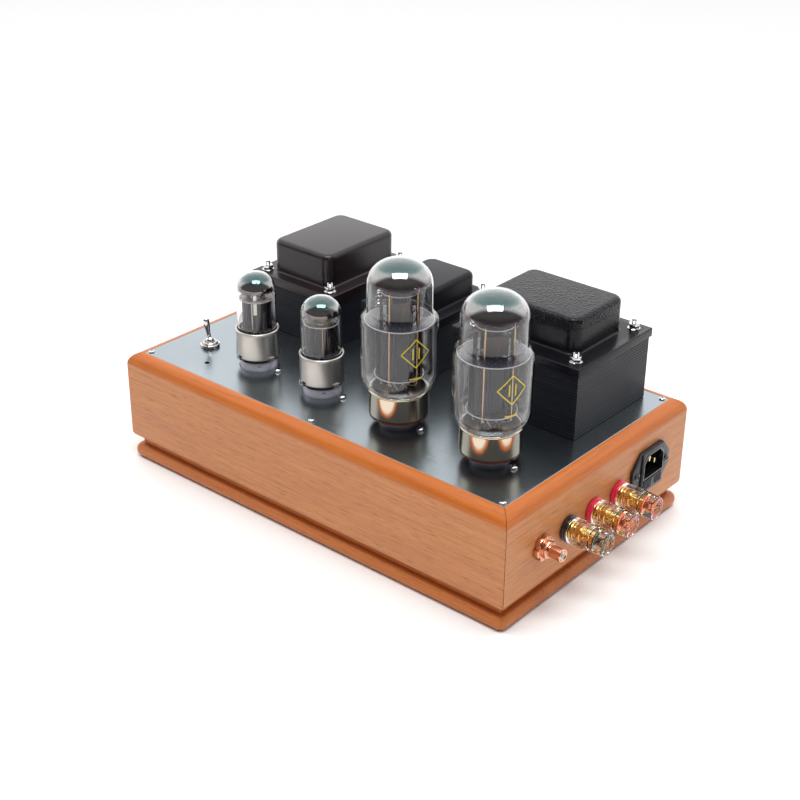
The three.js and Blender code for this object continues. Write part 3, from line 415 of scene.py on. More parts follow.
def paint(name, colour, roughness, wrinkle=0.0, wrinkle_above=None, shine=0.16):
    """Sprayed paint, with a fine wrinkle where it is thick."""
    look = Look(name)
    patches = look.noise(14, 3)
    lighter = tuple(c * 1.5 + 0.002 for c in colour)
    look.set(Base_Color=look.mix(patches, colour, lighter))
    look.set(Roughness=look.spread(patches, roughness - 0.05, roughness + 0.05))
    look.set(Specular_IOR_Level=shine)
    skin = look.noise(1.6, 2, rough=0.4)
    if wrinkle:
        skin = look.add(
            "ShaderNodeTexVoronoi",
            {"Vector": look.place(), "Scale": 1 / 1.45, "Smoothness": 0.35},
            feature="SMOOTH_F1",
        ).outputs["Distance"]
        if wrinkle_above is not None:
            part = look.spread(look.height(), 0.10, 1, wrinkle_above - 2, wrinkle_above + 1)
            skin = look.math("MULTIPLY", skin, part)
    look.bump(skin, wrinkle or 0.03, 0.9 if wrinkle else 0.4)
    return look.material


def laminations(name, colour):
    """A stack of thin varnished plates seen edge on."""
    look = Look(name)
    lines = look.add(
        "ShaderNodeTexWave",
        {"Vector": look.place(), "Scale": 0.15, "Distortion": 0.8, "Detail": 2},
        wave_type="BANDS",
        bands_direction="Z",
    ).outputs["Fac"]
    uneven = look.noise(1.6, 3, (0.02, 0.02, 1))
    smears = look.noise(26, 4, (1, 1, 0.5))
    dark = tuple(c * 0.25 for c in colour)
    body = look.mix(look.spread(lines, 0, 1, 0.2, 0.6), dark, colour)
    body = look.mix(look.spread(uneven, 0, 0.7, 0.4, 0.65), body, dark)
    look.set(Base_Color=body, Metallic=0.1, Specular_IOR_Level=0.22)
    look.set(Roughness=look.spread(smears, 0.30, 0.48))
    look.bump(look.math("ADD", lines, uneven), 0.16, 0.8)
    return look.material


def clear_glass(name, tint=(1, 1, 1), roughness=0.0, ior=1.46):
    look = Look(name)
    look.set(Transmission_Weight=1.0, IOR=ior)
    smears = look.noise(12, 3)
    look.set(Base_Color=look.mix(smears, tint, tuple(c * 0.97 for c in tint)))
    look.set(Roughness=look.spread(smears, roughness, roughness + 0.012))
    look.let_light_in()
    return look.material


def getter_film(name, fade_from, fade_to):
    """The mirror film inside a bulb's crown: teal on top, silver below, thinning at its edge."""
    look = Look(name)
    height = look.height()
    ragged = look.math("ADD", height, look.spread(look.noise(6, 3), -0.8, 0.8))
    level = look.spread(ragged, 0, 1, fade_from, fade_to)
    colour = look.ramp(
        level,
        [
            (0.0, (0.07, 0.035, 0.04)),
            (0.15, (0.16, 0.12, 0.12)),
            (0.34, (0.30, 0.29, 0.28)),
            (0.58, (0.25, 0.27, 0.27)),
            (0.68, (0.020, 0.085, 0.082)),
            (1.0, (0.006, 0.048, 0.050)),
        ],
    )
    look.set(Base_Color=colour, Metallic=1.0)
    look.set(Roughness=look.spread(look.noise(3, 3), 0.03, 0.08))
    clear = look.add("ShaderNodeBsdfTransparent")
    solid = look.spread(level, 0, 1, 0.0, 0.14)
    both = look.add("ShaderNodeMixShader", {0: solid, 1: clear.outputs[0]})
    look.tree.links.new(look.shader.outputs[0], both.inputs[2])
    look.tree.links.new(both.outputs[0], look.output.inputs["Surface"])
    return look.material


def mica(name, first, second):
    look = Look(name)
    flakes = look.noise(1.5, 5)
    look.set(Base_Color=look.mix(flakes, first, second))
    look.set(Roughness=look.spread(flakes, 0.15, 0.35), Coat_Weight=0.2)
    return look.material


def deck_steel(name):
    look = Look(name)
    scratches = look.noise(1.2, 5, (0.02, 1, 1), 0.7)
    clouds = look.noise(55, 4)
    colour = look.mix(clouds, (0.28, 0.325, 0.355), (0.40, 0.445, 0.47))
    look.set(Base_Color=colour, Metallic=1.0)
    smooth = look.math("ADD", look.spread(clouds, 0.19, 0.27), look.spread(scratches, 0, 0.05))
    look.set(Roughness=smooth)
    look.bump(scratches, 0.004, 0.3)
    return look.material


BOARD_TOP_RADIUS = 9.4
BOARD_BOTTOM_RADIUS = 5.0
BOARD_LEDGE = 2.3  # below the deck's top face, where the plate rests
BASE_NOSE = 4.8
BASE_CORNER = 5.8
BASE_SLAB = 10.5
PLINTH_INSET = 6

LACQUER = DECK - BOARD_TOP_RADIUS + 0.4
wood_side = wood("wood_side", LACQUER)
wood_end = wood("wood_end", LACQUER)
wood_base = wood("wood_base", all_lacquer=True)
steel = deck_steel("deck_steel")
chrome = metal("chrome", (0.80, 0.80, 0.81), 0.09, 0.03)
nickel = metal("nickel", (0.74, 0.64, 0.50), 0.09, 0.03, (1, 1, 0.1))
satin_nickel = metal("satin_nickel", (0.62, 0.59, 0.55), 0.30, 0.05, (1, 1, 0.1))
gold = metal("gold", (0.90, 0.62, 0.20), 0.13, 0.04)
copper_gold = metal("copper_gold", (0.46, 0.31, 0.17), 0.25, 0.05)
rose_gold = metal("rose_gold", (0.86, 0.47, 0.32), 0.16, 0.05)
brass = metal("brass", (0.83, 0.72, 0.38), 0.2, 0.05)
copper_wire = metal("copper_wire", (0.55, 0.24, 0.12), 0.32, 0.05, (0.05, 0.05, 1), 0.05)
black_wrinkle = paint("black_wrinkle", (0.004, 0.004, 0.006), 0.24, 0.50, DECK + 70, 0.22)
brown_satin = paint("brown_satin", (0.010, 0.005, 0.006), 0.30, shine=0.45)
black_satin = paint("black_satin", (0.006, 0.006, 0.009), 0.34, shine=0.16)
core_black = laminations("core_black", (0.020, 0.022, 0.032))
anode_grey = metal("anode_grey", (0.030, 0.028, 0.034), 0.36, 0.06)
dark_parts = metal("dark_parts", (0.070, 0.048, 0.038), 0.35, 0.1)
mica_dark = mica("mica_dark", (0.018, 0.019, 0.032), (0.045, 0.046, 0.065))
mica_pale = mica("mica_pale", (0.36, 0.32, 0.32), (0.52, 0.47, 0.47))
bulb_glass = clear_glass("bulb_glass")
acrylic = clear_glass("acrylic", (0.995, 0.985, 0.945), 0.0, 1.49)
ceramic = plastic("ceramic", (0.62, 0.58, 0.65), 0.30, 0.02, 0.4)
# The output sockets' ceramic: the driver sockets' lilac-grey darkened to about a quarter, painted shade for
# the sockets under the wide output valve bases.
painted_shade_ceramic = plastic("painted_shade_ceramic", (0.16, 0.15, 0.18), 0.32, 0.02, 0.4)
wafer_brown = plastic("wafer_brown", (0.085, 0.014, 0.008), 0.25, 0.03, 0.4)
wafer_black = plastic("wafer_black", (0.008, 0.008, 0.010), 0.3, 0.03, 0.3)
black_moulding = plastic("black_moulding", (0.010, 0.011, 0.015), 0.30, 0.05)
red_moulding = plastic("red_moulding", (0.58, 0.012, 0.055), 0.16, 0.02, 0.6)
black_gloss = plastic("black_gloss", (0.008, 0.008, 0.010), 0.14, 0.02, 0.6)
orange_band = plastic("orange_band", (0.80, 0.10, 0.015), 0.22, 0.02, 0.3)
white_insulator = plastic("white_insulator", (0.80, 0.79, 0.75), 0.35, 0.02)
yellow_print = plastic("yellow_print", (0.62, 0.50, 0.03), 0.45, 0.01)
board_green = plastic("board_green", (0.03, 0.12, 0.05), 0.4, 0.05)
sleeve_blue = plastic("sleeve_blue", (0.02, 0.06, 0.20), 0.3, 0.02, 0.3)


# ---- Cabinet ----
def board_section(thickness, low, high):
    """(depth, height) points: rounded lower edge, rebate for the deck, large rounded top."""
    ledge = high - BOARD_LEDGE
    points = [(thickness, low), (thickness, ledge), (BOARD_TOP_RADIUS, ledge)]
    points += arc(BOARD_TOP_RADIUS, high - BOARD_TOP_RADIUS, BOARD_TOP_RADIUS, 90, 180, 14)
    points += arc(BOARD_BOTTOM_RADIUS, low + BOARD_BOTTOM_RADIUS, BOARD_BOTTOM_RADIUS, 180, 270, 8)
    return points


def mitred_board(length, thickness, low, high):
    trim = GAP / math.sqrt(2)
    section = board_section(thickness, low, high)
    made = bmesh.new()
    steps = 24
    rings = []
    for i in range(steps + 1):
        share = i / steps
        rings.append(
            [made.verts.new((trim + d + share * (length - 2 * trim - 2 * d), d, z)) for d, z in section]
        )
    count = len(section)
    for left, right in zip(rings, rings[1:]):
        for k in range(count):
            j = (k + 1) % count
            made.faces.new((left[k], left[j], right[j], right[k]))
    made.faces.new(rings[0])
    made.faces.new(list(reversed(rings[-1])))
    return made


def make_boards():
    low, high = box_mm("front_board")
    thickness = high.y - low.y
    width = box_mm("back_board")[1].y - low.y
    half_length, half_width = FACE, width / 2
    full_length = 2 * half_length
    places = {
        "front_board": (full_length, (-half_length, -half_width), 0, wood_side),
        "back_board": (full_length, (half_length, half_width), math.pi, wood_side),
        "end_board": (width, (-half_length, half_width), -math.pi / 2, wood_end),
        "connector_board": (width, (half_length, -half_width), math.pi / 2, wood_end),
    }
    for node, (span, (x, y), turn, look) in places.items():
        made = mitred_board(span, thickness, low.z, high.z)
        board = piece(node + "_shaped", made, look, "chassis", [node])
        board.matrix_world = Matrix.Translation((x * MM, y * MM, 0)) @ Matrix.Rotation(turn, 4, "Z")
        bpy.context.view_layer.update()
        if node == "connector_board":
            cut_connector_holes(board, half_width)


def cut_connector_holes(board, half_width):
    through = Matrix.Rotation(-math.pi / 2, 4, "X")
    tools = []
    for node, radius in [("signal_jack", 4.5)] + [(f"speaker_post_{i}_stud", 3.4) for i in (1, 2, 3)]:
        at = centre(node)
        hole = turned(bar(radius, -5, 25, sides=32), through)
        tools.append(moved(hole, at.y + half_width, 0, at.z))
    at = centre("inlet_body")
    along = at.y + half_width
    tools.append(block(along - 13.2, along + 13.2, -5, 25, at.z - 15.4, at.z + 15.4))
    cut(board, *tools)


def make_base():
    low, high = box_mm("base_board")
    slab_top = low.z + BASE_SLAB
    made = prism(rounded(high.x - low.x, high.y - low.y, BASE_CORNER, 8), low.z, slab_top)
    soften(made, BASE_NOSE, 8, angle=60)
    inset = PLINTH_INSET
    plinth = block(low.x + inset, high.x - inset, low.y + inset, high.y - inset, slab_top / 2, high.z)
    piece("base_board_shaped", together(made, plinth), wood_base, "chassis", ["base_board"])


def make_deck():
    low, high = box_mm("deck_plate")
    plate = piece(
        "deck_plate_shaped", soften(block(low.x, high.x, low.y, high.y, low.z, high.z), 0.25, 1), steel,
        "chassis", ["deck_plate"],
    )
    tools = []
    under, over = low.z - 2, high.z + 2
    for node in VALVES:
        at = centre(f"{node[0]}_socket_{node[1]}")
        tools.append(bar(14, under, over, at.x, at.y, 64))
    at = centre("switch_body")
    tools.append(bar(6.2, under, over, at.x, at.y, 48))
    for name, coil in COIL_SIZES.items():
        at = centre(name + "_core")
        x, y = coil[0] + 0.6, coil[1] + 0.6
        tools.append(block(at.x - x, at.x + x, at.y - y, at.y + y, under, over))
        for bolt_x, bolt_y in bolt_places(name):
            tools.append(bar(2.7, under, over, at.x + bolt_x, at.y + bolt_y, 24))
    tools.append(bar(1.9, under, over, *SPARE_HOLE, 24))
    cut(plate, *tools)


DECK_SCREW_INSET = 3.6


def pan_screw(radius, height):
    """A pan head, seated at z = 0. cross_recess cuts its cross."""
    dome = [(0, 0), (radius, 0), (radius, height * 0.35)]
    dome += [
        (radius * math.cos(t), height * (0.35 + 0.65 * math.sin(t)))
        for t in [math.radians(a) for a in (20, 40, 60, 75)]
    ]
    dome.append((0, height))
    return lathe(dome, 28)


def cross_recess(radius, height):
    """Two bars that cut a cross into a screw head."""
    width = radius * 0.28
    reach = radius * 0.62
    floor = height * 0.45
    return [
        block(-reach, reach, -width / 2, width / 2, floor, height + 1),
        block(-width / 2, width / 2, -reach, reach, floor, height + 1),
    ]


def make_deck_screws():
    low, high = box_mm("deck_plate")
    inset = DECK_SCREW_INSET
    places = [(x, y) for x in (low.x + inset, high.x - inset) for y in (low.y + inset, high.y - inset)]
    places += [(0.0, low.y + inset), (0.0, high.y - inset)]
    for i, (x, y) in enumerate(places):
        screw = piece(
            f"deck_screw_{i + 1}", spun(pan_screw(2.3, 1.5), 17 * i), chrome, "chassis",
            at=(x, y, DECK),
        )
        cut(screw, *[spun(t, 17 * i) for t in cross_recess(2.3, 1.5)])


# ---- Valves ----
VALVES = [("driver", 1), ("driver", 2), ("output", 1), ("output", 2)]
SEAT = 6.3  # a valve's seat above the deck
SPARE_HOLE = (-118.5, -78.0)

OUTPUT = {
    "base": 20.5,
    "wafer": 20.0,
    "wafer_top": 9.3,
    "sleeve_top": 27.0,
    "neck": 18.9,
    "bulb": 26.0,
    "crown": 22.0,
    "bulb_from": 38.5,
    "bulb_to": 76.5,
    "crown_from": 84.0,
    "crown_to": 101.0,
    "top": 118.4,
    "film_from": 104.0,
}
DRIVER = {
    "base": 15.5,
    "wafer": 14.9,
    "wafer_top": 9.2,
    "sleeve_top": 30.0,
    "neck": 13.6,
    "bulb": 14.2,
    "crown": 14.0,
    "bulb_from": 32.5,
    "bulb_to": 55.0,
    "crown_from": 58.0,
    "crown_to": 60.0,
    "top": 72.0,
    "film_from": 59.0,
}


def smooth_step(start, end, steps, low, high):
    """Points easing from (start, low) to (end, high) in (radius, height)."""
    points = []
    for i in range(steps + 1):
        share = i / steps
        eased = share * share * (3 - 2 * share)
        points.append((start + (end - start) * eased, low + (high - low) * share))
    return points


def bulb_outline(size, offset=0.0):
    neck, bulb, crown = (size[k] - offset for k in ("neck", "bulb", "crown"))
    foot = size["wafer_top"] + 4
    points = [(neck, foot), (neck, size["sleeve_top"] + 0.4)]
    for i in range(1, 11):
        turn = math.pi / 2 * i / 10
        radius = neck + (bulb - neck) * math.sin(turn)
        start = size["sleeve_top"] + 0.4
        points.append((radius, start + (size["bulb_from"] - start) * (1 - math.cos(turn))))
    points += smooth_step(bulb, crown, 8, size["bulb_to"], size["crown_from"])
    top = size["top"] - offset
    for i in range(15):
        turn = math.pi / 2 * i / 14
        squash = 0.90
        radius = crown * math.cos(turn) ** squash
        points.append((radius, size["crown_to"] + (top - size["crown_to"]) * math.sin(turn)))
    points[-1] = (0, top)
    return points


def film_outline(size, wall):
    """The getter film just inside the crown, as a thin closed shell."""
    shell = []
    for offset in (wall + 0.12, wall + 0.30):
        points = [p for p in bulb_outline(size, offset) if p[1] > size["film_from"]]
        radius = points[0][0]
        shell.append([(radius, size["film_from"])] + points)
    return shell[1] + list(reversed(shell[0]))


def socket_shape():
    """A round ceramic body, its rim rounded; make_socket cuts its pin holes and its notch."""
    outline = [(0, -14), (12.8, -14), (12.8, -2)]
    outline += [(13.5, -2), (13.5, 4.6)] + arc(12.3, 4.8, 1.2, 0, 90, 5) + [(0, 6)]
    return lathe(outline, 64)


def pin_ring(radius, z0, z1, sides=16):
    ring = 8.73
    return [
        bar(radius, z0, z1, ring * math.cos(t), ring * math.sin(t), sides)
        for t in [FULL_TURN * (i + 0.5) / 8 for i in range(8)]
    ]


def make_socket(kind, number, look):
    node = f"{kind}_socket_{number}"
    at = centre(node)
    place = (at.x, at.y, DECK)
    body = piece(node + "_shaped", socket_shape(), look, "chassis", [node], place)
    notch = 48 - 90
    tools = pin_ring(1.6, -15, 8)
    tools.append(bar(4.3, -15, 8, sides=32))
    tools.append(block(0, 5.4, -1.3, 1.3, -15, 8))
    tools.append(spun(block(12.4, 15, -1.1, 1.1, 3.2, 8), notch))
    cut(body, *tools)
    saddle = prism(rounded(47, 30, 12, 8), -3.8, -2.3)
    plate = piece(node + "_saddle", saddle, chrome, "chassis", at=place)
    cut(plate, bar(12.9, -5, 0, sides=48))
    for side in (-1, 1):
        x = at.x + 19 * side
        screw = piece(
            f"{node}_screw_{'left' if side < 0 else 'right'}",
            together(pan_screw(2.9, 2.2), bar(1.4, -7, 0.2, sides=16)), chrome, "chassis",
            at=(x, at.y, DECK),
        )
        cut(screw, *cross_recess(2.9, 2.2))


def sleeve_outline(size, flare):
    """The metal sleeve with a rolled lip at its top, hollow inside."""
    radius, top, foot = size["base"], size["sleeve_top"], size["wafer_top"]
    lip = 0.9
    outer = [(radius + flare, foot), (radius + flare, foot + 0.8), (radius, foot + 2.4)]
    outer += [(radius, top - 2 * lip - 0.4)]
    outer += arc(radius - 0.35, top - lip, lip, -60, 150, 8)
    inner = [(radius - 1.0, top - 2 * lip), (radius - 1.0, foot + 1.6), (0, foot + 1.6), (0, foot)]
    return outer + inner


def make_valve_base(kind, number, size, look, wafer_look, flare):
    node = f"{kind}_valve_{number}_base"
    body = f"{kind}_valve_{number}"
    at = centre(node)
    place = (at.x, at.y, DECK)
    sleeve = piece(
        node + "_sleeve", lathe(sleeve_outline(size, flare)), look, body, [node], place,
    )
    if flare:
        reach, foot = size["base"] + 2, size["wafer_top"]
        notch_at = (-100, -10, 80, 170)
        cut(sleeve, *[spun(block(12.5, reach, -2, 2, foot - 1, foot + 1.9), t) for t in notch_at])
    wafer_outline = [(0, SEAT)]
    wafer_outline += arc(size["wafer"] - 0.7, SEAT + 0.7, 0.7, -90, 0, 4)
    wafer_outline += [(size["wafer"], size["wafer_top"] - 0.1), (0, size["wafer_top"] - 0.1)]
    wafer = piece(node + "_wafer", lathe(wafer_outline), wafer_look, body, at=place)
    notches = [
        spun(block(size["wafer"] - 1.2, size["wafer"] + 2, -2, 2, SEAT - 1, SEAT + 1.6), turn)
        for turn in (-100, -10, 80, 170)
    ]
    cut(wafer, *notches)
    pins = pin_ring(1.15, SEAT - 11, SEAT + 0.3)
    pins = [soften(pin, 0.35, 2) for pin in pins]
    piece(node + "_pins", together(*pins), brass, body, at=place)
    spigot = bar(3.8, SEAT - 12, SEAT + 0.2, sides=32, edge=0.8)
    key = soften(block(2, 4.9, -0.9, 0.9, SEAT - 11.6, SEAT + 0.2), 0.3, 2)
    piece(node + "_spigot", together(spigot, key), wafer_look, body, at=place)


def make_bulb(kind, number, size, wall, film):
    node = f"{kind}_valve_{number}_glass"
    body = f"{kind}_valve_{number}"
    at = centre(node)
    place = (at.x, at.y, DECK)
    shell = bulb_outline(size) + list(reversed(bulb_outline(size, wall)))
    piece(node + "_blown", lathe(shell, 96, True), bulb_glass, body, [node], place)
    piece(
        f"{kind}_valve_{number}_getter_film", lathe(film_outline(size, wall), 96, True), film, body,
        at=place,
    )


def disc(radius, z, thickness=0.6, teeth=0):
    """A mica disc, with small teeth round its rim that brace it in the bulb."""
    if not teeth:
        return soften(prism(regular(64, radius), z, z + thickness), 0.12, 1)
    points = []
    for i in range(teeth * 4):
        turn = FULL_TURN * i / (teeth * 4)
        reach = radius if i % 4 < 2 else radius - 1.4
        points.append((reach * math.cos(turn), reach * math.sin(turn)))
    return prism(points, z, z + thickness)


def anode_shape(width, depth, corner, low, high):
    """A folded box with ribs down its faces and a seam flange on each side."""
    x, y = width / 2, depth / 2
    half = [(x + 2.2, -0.45), (x + 2.2, 0.45), (x, 0.45)]
    half += arc(x - corner, y - corner, corner, 10, 90, 6)
    rib = 1.0
    for centre_x in (x * 0.42, -x * 0.42):
        half += [
            (centre_x + 1.6, y),
            (centre_x + 0.8, y + rib),
            (centre_x - 0.8, y + rib),
            (centre_x - 1.6, y),
        ]
    half += [(-px, py) for px, py in reversed(arc(x - corner, y - corner, corner, 10, 90, 6))]
    half += [(-x, 0.45), (-x - 2.2, 0.45)]
    other = [(-px, -py) for px, py in half]
    return prism(half + other[1:-1], low, high)


def rim(radius, z, thickness=0.5, width=0.5):
    """The pale cut edge of a mica disc."""
    low, high = z - 0.05, z + thickness + 0.05
    outline = [(radius - width, low), (radius, low), (radius, high), (radius - width, high)]
    return lathe(outline, ROUND_SIDES, True)


def electrode_adder(kind, number):
    """Returns a function that adds a part inside one valve's bulb."""
    body = f"{kind}_valve_{number}"
    node = body + "_electrodes"
    at = centre(node)

    def add(suffix, made, look, replaces=()):
        place = (at.x, at.y, DECK)
        return piece(f"{node}_{suffix}", made, look, body, replaces, place)

    return add, node


def make_output_electrodes(number, spin):
    add, node = electrode_adder("output", number)
    low, high = 38.0, 75.6
    plates = spun(anode_shape(27, 21, 5, low, high), spin)
    box = add("anode", plates, anode_grey, [node])
    across = Matrix.Rotation(math.pi / 2, 4, "X")
    holes = []
    for z in (low + 6.5, (low + high) / 2, high - 6.5):
        hole = turned(turned(bar(1.2, -14, 14, sides=20), across), Matrix.Diagonal((0.8, 1, 1.6, 1)))
        holes.append(spun(moved(hole, 4.6, 0, z), spin))
    for i in range(9):
        pinhole = turned(bar(0.38, -14, 14, sides=10), across)
        holes.append(spun(moved(pinhole, -10.4, 0, low + 4 + i * 3.7), spin))
    cut(box, *holes)
    discs = together(disc(23.2, high + 0.3, 0.5), disc(16.6, low - 0.9, 0.5), disc(13, high + 21, 0.5))
    add("micas", discs, mica_dark)
    rims = together(rim(23.35, high + 0.3), rim(16.75, low - 0.9), rim(13.1, high + 21))
    add("mica_rims", rims, mica_pale)
    rods = []
    for x in (-9.3, 9.3):
        for y in (-12.6, 12.6):
            rods.append(bar(0.55, low - 4, high + 24, x, y, 16))
    for x in (-5.2, 5.2):
        rods.append(bar(0.5, low - 6, high + 19, x, 0, 12))
    add("rods", spun(together(*rods), spin), copper_gold)
    make_output_crown(add, high, spin)
    make_stem(add, 8.5, 13.0, low - 1.4, 1.0)


def make_output_crown(add, high, spin):
    """Plates, straps and small cups between the upper mica and the crown."""
    parts = [
        block(-7.5, 7.5, -6.2, -5.6, high + 1.2, high + 14),
        block(-7.5, 7.5, 5.6, 6.2, high + 1.2, high + 14),
        block(-12.5, -12.0, -4.5, 4.5, high + 1.2, high + 17),
        block(12.0, 12.5, -4.5, 4.5, high + 1.2, high + 17),
        block(-15.5, 15.5, -0.25, 0.25, high + 16, high + 17.6),
    ]
    for side in (-1, 1):
        cup = lathe([(2.4, 0), (3.0, 0), (3.0, 1.1), (2.4, 1.1)], 24, True)
        parts.append(moved(cup, side * 12.5, 0, high + 17.6))
    plates = spun(together(*parts), spin)
    add("upper_plates", plates, dark_parts)
    brackets = []
    for turn in (-45, -5, 35, 80, 140, 200, 260):
        foot = swept(
            [(10, 0, high + 1), (13, 0, high + 3), (15.8, 0, high + 8), (15.4, 1.5, high + 15)], 0.38,
        )
        brackets.append(spun(foot, turn))
    add("brackets", together(*brackets), dark_parts)


def make_stem(add, radius, foot, top, size=0.8):
    """The pressed glass stem and the leads that spread from it."""
    press = lathe([(0, foot), (radius, foot), (radius, foot + 4), (radius * 0.6, top - 9), (0, top - 8)], 40)
    add("stem", press, dark_parts)
    leads = []
    for i in range(16):
        turn = FULL_TURN * i / 16 + 0.3
        reach = radius * (0.40 + 0.12 * (i % 4))
        spread = radius * (1.15 + 0.16 * (i % 3))
        points = [
            (reach * math.cos(turn), reach * math.sin(turn), top - 11),
            (reach * math.cos(turn + 0.3), reach * math.sin(turn + 0.3), top - 7),
            (spread * math.cos(turn + 0.7), spread * math.sin(turn + 0.7), top - 4.0 - (i % 3)),
            (spread * math.cos(turn + 0.4), spread * math.sin(turn + 0.4), top + 0.4),
        ]
        leads.append(swept(points, 0.34 * size))
    add("leads", together(*leads), satin_nickel)
    tabs = []
    for i in range(12):
        turn = 360 * i / 12 + 11
        level = top - 2.6 - 1.3 * (i % 3)
        tab = block(radius * 0.8, radius * (1.4 + 0.15 * (i % 2)), -1.4, 1.4, level, level + 0.4)
        tabs.append(spun(soften(tab, 0.1, 1), turn))
    add("tabs", together(*tabs), dark_parts)


def make_driver_electrodes(number, spin, tall_bracket):
    add, node = electrode_adder("driver", number)
    low, high = 30.6, 52.6
    plates = spun(anode_shape(18.5, 12.5, 4, low, high), spin)
    add("anode", plates, anode_grey, [node])
    top_disc = disc(11.6, high + 0.1, 0.9, 14)
    top_look = mica_pale if tall_bracket else mica_dark
    add("top_mica", top_disc, top_look)
    lower = disc(11.6, low - 0.9, 0.7, 14)
    add("lower_mica", lower, mica_dark)
    add("mica_rim", rim(12.2, high + 0.1), mica_pale)
    rods = [bar(0.45, low - 3, high + 6.5, x, 0, 12) for x in (-4.2, 4.2)]
    rods += [bar(0.45, low - 3, high + 6.0, 0, y, 12) for y in (-7.4, 7.4)]
    if tall_bracket:
        rods.append(spun(block(-1.2, 1.2, -10.2, -9.8, high - 9.5, high + 8), 40 - spin))
    add("rods", spun(together(*rods), spin), satin_nickel if tall_bracket else copper_gold)
    ring = moved(lathe([(4.8, 0), (6.6, 0), (6.6, 0.9), (4.8, 0.9)], 32, True), 0, -2.5, high + 1.3)
    shield = prism(rounded(13, 6, 2, 4), high + 6.2, high + 6.9)
    add("getter_ring", together(spun(ring, 40), spun(shield, spin)), dark_parts if tall_bracket else brass)
    make_stem(add, 5.0, 12.5, low - 0.9)


def on_bulb(radius, turn, height, thick=0.06):
    """Two points, under and over, on a bulb's side at an angle in degrees."""
    t = math.radians(turn)
    return [(r * math.cos(t), r * math.sin(t), height) for r in (radius + 0.02, radius + 0.02 + thick)]


def printed_line(radius, points, width):
    """A thin printed line on the bulb through (distance round, height) points."""
    made = bmesh.new()
    rows = []
    for i, (u, v) in enumerate(points):
        before = Vector(points[max(i - 1, 0)])
        after = Vector(points[min(i + 1, len(points) - 1)])
        along = (after - before).normalized()
        across = Vector((-along.y, along.x)) * width / 2
        row = []
        for side in (-1, 1):
            turn = math.degrees((u + side * across.x) / radius)
            row += [made.verts.new(p) for p in on_bulb(radius, turn, v + side * across.y)]
        rows.append([row[0], row[2], row[3], row[1]])
    for first, second in zip(rows, rows[1:]):
        for k in range(4):
            j = (k + 1) % 4
            made.faces.new((first[k], first[j], second[j], second[k]))
    made.faces.new(rows[0])
    made.faces.new(list(reversed(rows[-1])))
    return made


def make_print(number, turn):
    """A plain diamond outline with two bars in it and one below, a generic mark."""
    at = centre(f"output_valve_{number}_glass")
    radius = OUTPUT["bulb"]
    middle, reach = 62.0, 10.0
    lines = []
    corners = [(0, reach), (reach, 0), (0, -reach), (-reach, 0)]
    for i in range(4):
        (u0, v0), (u1, v1) = corners[i], corners[(i + 1) % 4]
        points = [(u0 + (u1 - u0) * s / 6, middle + v0 + (v1 - v0) * s / 6) for s in range(7)]
        lines.append(printed_line(radius, points, 0.8))
    for u in (-2.2, 2.2):
        points = [(u, middle - 4 + 8 * s / 6) for s in range(7)]
        lines.append(printed_line(radius, points, 0.9))
    points = [(-4.5 + 9 * s / 6, middle - 18) for s in range(7)]
    lines.append(printed_line(radius, points, 1.0))
    made = spun(together(*lines), turn)
    piece(
        f"output_valve_{number}_print", made, yellow_print, f"output_valve_{number}",
        at=(at.x, at.y, DECK),
    )


def make_valves():
    driver_film = getter_film("driver_getter", DRIVER["film_from"], DRIVER["top"])
    output_film = getter_film("output_getter", OUTPUT["film_from"], OUTPUT["top"])
    for number in (1, 2):
        make_socket("driver", number, ceramic)
        # The output sockets take the ceramic darkened as painted shade under their wide valve bases.
        make_socket("output", number, painted_shade_ceramic)
        make_valve_base("driver", number, DRIVER, satin_nickel, wafer_black, 0.4)
        make_valve_base("output", number, OUTPUT, nickel, wafer_brown, 0.0)
        make_bulb("driver", number, DRIVER, 0.8, driver_film)
        make_bulb("output", number, OUTPUT, 0.9, output_film)
    make_output_electrodes(1, 52)
    make_output_electrodes(2, 52)
    make_driver_electrodes(1, 20, True)
    make_driver_electrodes(2, 50, False)
    make_print(1, -25)
    make_print(2, -25)


# ---- Transformers ----
TRANSFORMERS = {
    # long plate side, short plate side, long side along X, cap long, cap short, look, slot
    "power_transformer": (105, 87.5, True, 78, 58, black_wrinkle, "black_paint"),
    "output_transformer": (96, 80, False, 76, 58, brown_satin, "brown_black_paint"),
    "choke": (76.2, 63.5, False, 57, 44, black_satin, "black_paint"),
}
COVER_SHEET = 1.2
COVER_SKIRT = 4.5
CAP_CORNER = 8
CAP_EDGE = 4
CAP_FILLET = 1.6


def along_x(name, long, short):
    return (long, short) if TRANSFORMERS[name][2] else (short, long)


def bolt_places(name):
    long, short = TRANSFORMERS[name][:2]
    inset = long / 12
    x, y = along_x(name, long / 2 - inset, short / 2 - inset)
    return [(-x, -y), (x, -y), (x, y), (-x, y)]


def coil_size(name):
    long, short = TRANSFORMERS[name][:2]
    return along_x(name, long / 3 - 0.6, short / 2 - long / 6 - 0.6)


COIL_SIZES = {name: coil_size(name) for name in TRANSFORMERS}


def cap_shell(width, depth, corner, edge, low, high, fillet):
    """A pressed cap: rounded rectangles stacked up a section with a foot fillet."""
    levels = []
    if fillet:
        levels += [(fillet * (1 - math.sin(t)), low + fillet * (1 - math.cos(t)))
                   for t in [math.pi / 2 * i / 5 for i in range(6)]]
    else:
        levels += [(0, low)]
    levels += [
        (-edge * (1 - math.cos(t)), high - edge + edge * math.sin(t))
        for t in [math.pi / 2 * i / 7 for i in range(8)]
    ]
    made = bmesh.new()
    rings = []
    for out, z in levels:
        radius = max(corner + out, 0.6)
        outline = rounded(width + 2 * out, depth + 2 * out, radius, 8)
        rings.append([made.verts.new((x, y, z)) for x, y in outline])
    for lower, upper in zip(rings, rings[1:]):
        for k in range(len(lower)):
            j = (k + 1) % len(lower)
            made.faces.new((lower[k], lower[j], upper[j], upper[k]))
    made.faces.new(list(reversed(rings[0])))
    made.faces.new(rings[-1])
    return made


